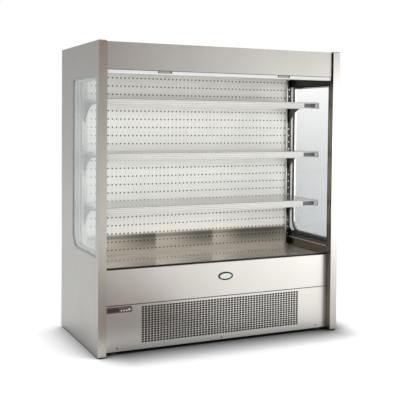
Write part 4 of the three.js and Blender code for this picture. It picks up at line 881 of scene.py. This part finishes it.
# %% Punch the grille
GRILLE_COLUMNS = 55
GRILLE_ROWS = 16
GRILLE_X = (-0.570, 0.584)
GRILLE_Z = (0.066, 0.290)
GRILLE_HOLE = (0.0088, 0.0062)  # half the width and half the height
HOLE_STEPS = 12
SHEET = 0.0015
PANEL_LINE = 0.002  # how much wider the line between the two panels is than the solids need
low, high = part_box("lower_front_panel")


def spaced(first, last, count):
    """Places at equal steps from the first to the last, and the step."""
    step = (last - first) / (count - 1)
    return [first + i * step for i in range(count)], step


def flanges(bm, low, high, uprights_only=False):
    """The folded edges behind a sheet that faces -Y."""
    front = low.y + SHEET
    for x in ((low.x, low.x + SHEET), (high.x - SHEET, high.x)):
        slab(bm, x, (front, high.y), (low.z, high.z))
    if not uprights_only:
        for z in ((low.z, low.z + SHEET), (high.z - SHEET, high.z)):
            slab(bm, (low.x + SHEET, high.x - SHEET), (front, high.y), z)


columns, step_x = spaced(*GRILLE_X, GRILLE_COLUMNS)
rows, step_z = spaced(*GRILLE_Z, GRILLE_ROWS)
high.z -= PANEL_LINE
bm = bmesh.new()
punched_sheet(
    bm, (low.x, high.x), (low.z, high.z), low.y, SHEET, columns, rows, (step_x, step_z),
    hole_outline(*GRILLE_HOLE, squareness=4, steps=HOLE_STEPS),
)
flanges(bm, low, high)
grille = as_piece("punched_front_panel", bm, "cabinet", "steel_skin", SKIN)
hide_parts("lower_front_panel")
print("grille holes:", GRILLE_COLUMNS * GRILLE_ROWS)

# %% Put a sheet of painted shade behind it
# A near-black sheet behind the holes stands in for the shade of the machine space: painted shade.
GRILLE_SHADE_EDGE = 0.015
GRILLE_SHADE_Y = (0.0030, 0.0100)  # behind the face of the panel
x, z = [(first - GRILLE_SHADE_EDGE, last + GRILLE_SHADE_EDGE) for first, last in (GRILLE_X, GRILLE_Z)]
y = [low.y + depth for depth in GRILLE_SHADE_Y]
slab_piece("shade_behind_holes", x, y, z, "cabinet", "black_plastic", SHADE_BLACK)
print("grille_shade %.0f mm thick" % (1000 * (y[1] - y[0])))

# %% [markdown]
# ## The perforated back
# Cold air comes through the back sheet, in rows of small round holes. The same tool punches them.

# %% Punch the back sheet
BACK_COLUMNS = 55
BACK_ROWS = 22
BACK_STEP = (0.03015, 0.0574)
BACK_TOP_ROW = 1.780
BACK_HOLE = 0.0054  # radius
low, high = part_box("back_panel")
columns = [(i - (BACK_COLUMNS - 1) / 2) * BACK_STEP[0] for i in range(BACK_COLUMNS)]
rows = [BACK_TOP_ROW - (BACK_ROWS - 1 - j) * BACK_STEP[1] for j in range(BACK_ROWS)]
bm = bmesh.new()
punched_sheet(
    bm, (low.x, high.x), (low.z, high.z), low.y, SHEET, columns, rows, BACK_STEP,
    hole_outline(BACK_HOLE, BACK_HOLE, squareness=2, steps=HOLE_STEPS),
)
flanges(bm, low, high, uprights_only=True)
back = as_piece("perforated_back", bm, "cabinet", "bright_steel", BACK_SHEET)
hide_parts("back_panel")
print("back holes:", BACK_COLUMNS * BACK_ROWS)

# %% Put a sheet of painted shade in the duct behind it
# A near-black sheet behind the holes stands in for the shade of the duct: painted shade.
LINING_Y = (0.008, 0.011)  # behind the face of the sheet
lining("duct_shade", low, high, 2 * SHEET, LINING_Y, "black_plastic", SHADE_BLACK)
print("lining %.1f mm behind the sheet" % (1000 * LINING_Y[0]))

# %% [markdown]
# ## Shelves, brackets and uprights
# The shelves are polished sheet on brackets that hook into slotted uprights. The brackets, and a
# strip on the right-hand upright's front, are painted dark as shade.

# %% Dress the uprights
WEB_Y = (0.014, 0.016)  # behind the front of the upright
WEB_EDGE = 0.004
STRIP_X = (0.7965, 0.8278)  # the strip of painted shade on the right-hand upright's front
STRIP_SLOT = (0.0036, 0.0060)  # half the width and half the height
STRIP_CELL = 0.012
STRIP_STEP = 0.025
STRIP_FIRST = 0.6033
STRIP_COUNT = 46
STRIP_PROUD = 0.0006
for name in ("left", "right"):
    soften("upright_" + name, "cabinet", "galvanised", PALE_ZINC, width=0.0006)
    low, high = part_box("upright_" + name)
    lining("upright_web_" + name, low, high, WEB_EDGE, WEB_Y, "galvanised", PALE_ZINC)

# %% Hang the strip of painted shade
# low and high still hold the right-hand upright, which came last.
bm = bmesh.new()
slots = [STRIP_FIRST + i * STRIP_STEP for i in range(STRIP_COUNT)]
punched_sheet(
    bm, STRIP_X, (low.z, high.z), low.y - STRIP_PROUD, STRIP_PROUD / 2, [(low.x + high.x) / 2], slots,
    (STRIP_CELL, STRIP_STEP), hole_outline(*STRIP_SLOT, squareness=6, steps=HOLE_STEPS),
)
as_piece("slotted_strip", bm, "cabinet", "galvanised", DARK_ZINC)
print("slots in the strip:", STRIP_COUNT)

# %% Dress the shelves and brackets
for n in (1, 2, 3):
    body = "shelf_%d" % n
    soften("shelf_%d" % n, body, "bright_steel", SHELF_STEEL, width=0.0006)
    # The brackets are painted dark as shade, the left ones, seen through glass, darkest.
    for name, finish in (("left", SHADED_BRACKET), ("right", DARK_BRACKET)):
        soften("bracket_%s_%d" % (name, n), body, "galvanised", finish, width=0.0005)

# %% [markdown]
# ## Price rails
# A rail is a ribbed extrusion clipped over the shelf's front. Its pale length stops short of the
# right-hand end. After it come a dark insert and a clear tip that slants back.

# %% Make the price rails
RAIL_INSERT_END = 0.68
RAIL_DARK_END = 0.772
DARK_SHARES = (0.2, 0.8)  # the dark piece lies between these shares of the way down
RAIL_TIP = 0.010  # how far the clear end slants back
RAIL_FACE = 0.002  # how far the plain face lies behind the foremost line
RAIL_TOP = (0.004, 0.003)  # the slant along the top edge, back and down
RAIL_LIP = (0.0018, 0.004)  # the turned lower lip, forwards and up
GROOVE = 0.0022  # how deep a groove is, and half its opening
GROOVE_SHARES = (0.22, 0.50, 0.78)  # of the way down
JOINT = 0.0003


def rail_outline(low, high):
    """The extrusion in section: three grooves, with ribs between them, and a turned lower lip."""
    back, face = high.y, low.y + RAIL_FACE
    z0, z1 = low.z, high.z
    points = [(back, z0), (back, z1), (face + RAIL_TOP[0], z1), (face, z1 - RAIL_TOP[1])]
    for share in GROOVE_SHARES:
        z = z1 - share * (z1 - z0)
        points += [(face, z + GROOVE), (face + GROOVE, z + GROOVE / 2)]
        points += [(face + GROOVE, z - GROOVE / 2), (face, z - GROOVE)]
    points += [(face - RAIL_LIP[0], z0 + RAIL_LIP[1]), (face, z0)]
    return points


for n in (1, 2, 3):
    low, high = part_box("ticket_rail_%d" % n)
    bm = bmesh.new()
    outline = rail_outline(low, high)
    drawn(bm, outline, low.x, RAIL_INSERT_END)
    drawn(bm, outline, RAIL_INSERT_END + JOINT, RAIL_DARK_END, 1)
    drawn(bm, outline, RAIL_DARK_END + JOINT, high.x, 2)
    for vert in bm.verts:
        if vert.co.x > high.x - JOINT:
            vert.co.x -= RAIL_TIP * (high.z - vert.co.z) / (high.z - low.z)
    bmesh.ops.recalc_face_normals(bm, faces=bm.faces)
    bm.normal_update()
    for face in bm.faces:
        down = (high.z - face.calc_center_median().z) / (high.z - low.z)
        if face.material_index == 1 and not DARK_SHARES[0] < down < DARK_SHARES[1]:
            face.material_index = 0
        # Pale faces that do not look squarely forwards, such as the grooves' sides, the top and the lip,
        # take the grey as painted shade.
        if face.material_index == 0 and face.normal.y > -SQUARELY and abs(face.normal.x) < PARTLY:
            face.material_index = 3
    rail = as_piece(
        "price_rail_%d" % n, bm, "shelf_%d" % n, "rail_plastic", RAIL_WHITE, SLATE, CLEAR, RAIL_GREY
    )
    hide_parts("ticket_rail_%d" % n)
print("rail sections: pale to %.3f, dark to %.3f" % (RAIL_INSERT_END, RAIL_DARK_END))

# %% [markdown]
# ## Deck and air return
# Four polished trays cover the base. The slotted strip in front of them takes the air back.

# %% Dress the deck
def front_fold(face):
    """The fold along a tray's front stands in the shade of the front panel."""
    return 1 if looks_forwards(face, PARTLY) else 0


for n in (1, 2, 3, 4):
    soften(
        "deck_tray_%d" % n, "deck_tray_%d" % n, "bright_steel", POLISHED, SHADED_FOLD,
        width=0.0006, choose=front_fold,
    )
soften("return_air_strip", "cabinet", "galvanised", DARK_STRIP, width=0.0005)
soften("evaporator_well", "cabinet", "white_plastic", WHITE_SHEET, width=0.002)
soften("evaporator_coil", "cabinet", "coil_metal", FIN_METAL, width=0.0004)
soften("evaporator_fan_plate", "cabinet", "galvanised", ZINC, width=0.0005)
for n in (1, 2):
    soften("evaporator_fan_%d" % n, "evaporator_fan_%d" % n, "black_plastic", BLACK_PLASTIC, width=0.0005)

# %% [markdown]
# ## Night blind
# A white bar with two finger grips hangs under the fascia. Behind it the cloth winds on a roller.

# %% Dress the blind
soften("blind_bar", "blind_bar", "white_plastic", BAR_WHITE, width=0.0012)
soften("blind_cassette", "cabinet", "galvanised", ZINC, width=0.0005)
soften("blind_roller", "blind_roller", "blind_fabric", CLOTH, width=0.0005)

# %% Lay the brush along the top of the bar
BRUSH_HIGH = 0.0024
BRUSH_PROUD = 0.0003
BRUSH_DEEP = 0.004
low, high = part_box("blind_bar")
y, z = (low.y - BRUSH_PROUD, low.y + BRUSH_DEEP), (high.z - BRUSH_HIGH, high.z)
slab_piece("bar_brush", (low.x, high.x), y, z, "blind_bar", "black_rubber", RUBBER)
print("brush %.1f mm high along the top of the bar" % (1000 * BRUSH_HIGH))

# %% Scoop the finger grips
GRIP_END = 0.006
GRIP_RIM = 0.003  # the flat edge above and below the scoop
SCOOP_DEPTH = 0.55  # as a share of the grip's own depth
SCOOP_STEPS = 8
for name in ("left", "right"):
    low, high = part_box("blind_grip_" + name)
    scoop = []
    for i in range(SCOOP_STEPS + 1):
        share = i / SCOOP_STEPS
        deep = math.sin(math.pi * share) * SCOOP_DEPTH * (high.y - low.y)
        scoop.append((low.y + deep, high.z - GRIP_RIM + share * (low.z - high.z + 2 * GRIP_RIM)))
    section = [(low.y, low.z), (high.y, low.z), (high.y, high.z), (low.y, high.z), *scoop]
    y, z = (low.y, high.y), (low.z, high.z)
    bm = bmesh.new()
    slab(bm, (low.x, low.x + GRIP_END), y, z, 1)
    drawn(bm, section, low.x + GRIP_END + JOINT, high.x - GRIP_END - JOINT)
    slab(bm, (high.x - GRIP_END, high.x), y, z, 1)
    grip = as_piece("finger_grip_" + name, bm, "blind_bar", "grey_plastic", GRIP_TAUPE, GRIP_DARK)
    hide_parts("blind_grip_" + name)
print("grip %.0f mm wide" % (1000 * (high.x - low.x)))

# %% Hang the cloth
CLOTH_STEPS = (160, 12)
low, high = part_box("blind_fabric")
cloth_low = Vector((low.x, (low.y + high.y) / 2, low.z))
bm = bmesh.new()
grid = []
for i in range(CLOTH_STEPS[0] + 1):
    x = low.x + (high.x - low.x) * i / CLOTH_STEPS[0]
    heights = [low.z + (high.z - low.z) * j / CLOTH_STEPS[1] for j in range(CLOTH_STEPS[1] + 1)]
    grid.append([bm.verts.new((x, cloth_low.y, z)) for z in heights])
for i in range(CLOTH_STEPS[0]):
    for j in range(CLOTH_STEPS[1]):
        bm.faces.new((grid[i][j], grid[i + 1][j], grid[i + 1][j + 1], grid[i][j + 1])).smooth = True
cloth = as_object("blind_cloth", bm, CLOTH)
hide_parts("blind_fabric")
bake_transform(cloth)
print("cloth between roller and bar: %.0f mm" % (1000 * (high.z - low.z)))

# %% [markdown]
# ## Badge and controller
# The badge is an oval with a dark rim and a pale, empty middle. The controller has a tinted window
# on its left and four buttons.

# %% Dress the badge
BADGE_PALE = moulded("badge_pale", (0.52, 0.57, 0.54), 0.25)
BADGE_RIM = moulded("badge_rim", (0.03, 0.035, 0.035), 0.25)


def sunk_face(node, depth):
    """Mark the faces that look forward from at least this far behind the front of a solid."""
    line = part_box(node)[0].y + depth
    return lambda face: 1 if looks_forwards(face, SQUARELY) and face.calc_center_median().y > line else 0


soften(
    "badge_blank", "cabinet", "badge_plastic", BADGE_RIM, BADGE_PALE,
    width=0.0008, choose=sunk_face("badge_blank", depth=0.001),
)

# %% Ring the badge
RING_WIDE = 0.0095
RING_THICK = 0.0035
RING_STEPS = 64
low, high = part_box("badge_blank")
middle = (low + high) / 2
half = (high - low) / 2
ovals = [
    hole_outline(half.x - inset, half.z - inset, squareness=2, steps=RING_STEPS) for inset in (0, RING_WIDE)
]
bm = bmesh.new()
framed(bm, *ovals, low.y, low.y + RING_THICK)
for vert in bm.verts:
    along, across, up = vert.co
    vert.co = (middle.x + across, along, middle.z + up)  # framed draws out along X, the ring along Y
as_piece("badge_ring", bm, "cabinet", "badge_plastic", BADGE_RIM)
print("ring %.1f mm wide" % (1000 * RING_WIDE))

# %% Dress the controller
soften(
    "controller", "cabinet", "black_plastic", BEZEL, DISPLAY,
    width=0.0006, choose=sunk_face("controller", depth=0.0008),
)
for n in (1, 2, 3, 4):
    soften("button_%d" % n, "button_%d" % n, "white_plastic", BAR_WHITE, width=0.0005)

# %% [markdown]
# ## Base, feet and machine
# Under the well stand the compressor and the condenser, on a zinc frame with four levelling feet.
# The honeycomb of the air outlet, up in the canopy, is dressed here too.

# %% Dress the machine space
soften("air_outlet", "cabinet", "grey_plastic", GREY_PLASTIC, width=0.0004)
soften("base_frame", "cabinet", "galvanised", ZINC, width=0.001)
for n in (1, 2, 3, 4):
    soften("foot_%d" % n, "cabinet", "black_plastic", BLACK_PLASTIC, width=0.0006)
soften("compressor", "cabinet", "black_paint", BLACK_PAINT, width=0.001)
soften("condenser", "cabinet", "galvanised", FIN_METAL, width=0.0005)
soften("condenser_fan", "condenser_fan", "black_plastic", BLACK_PLASTIC, width=0.0005)
soften("cable_gland", "cabinet", "black_plastic", BLACK_PLASTIC, width=0.0005)
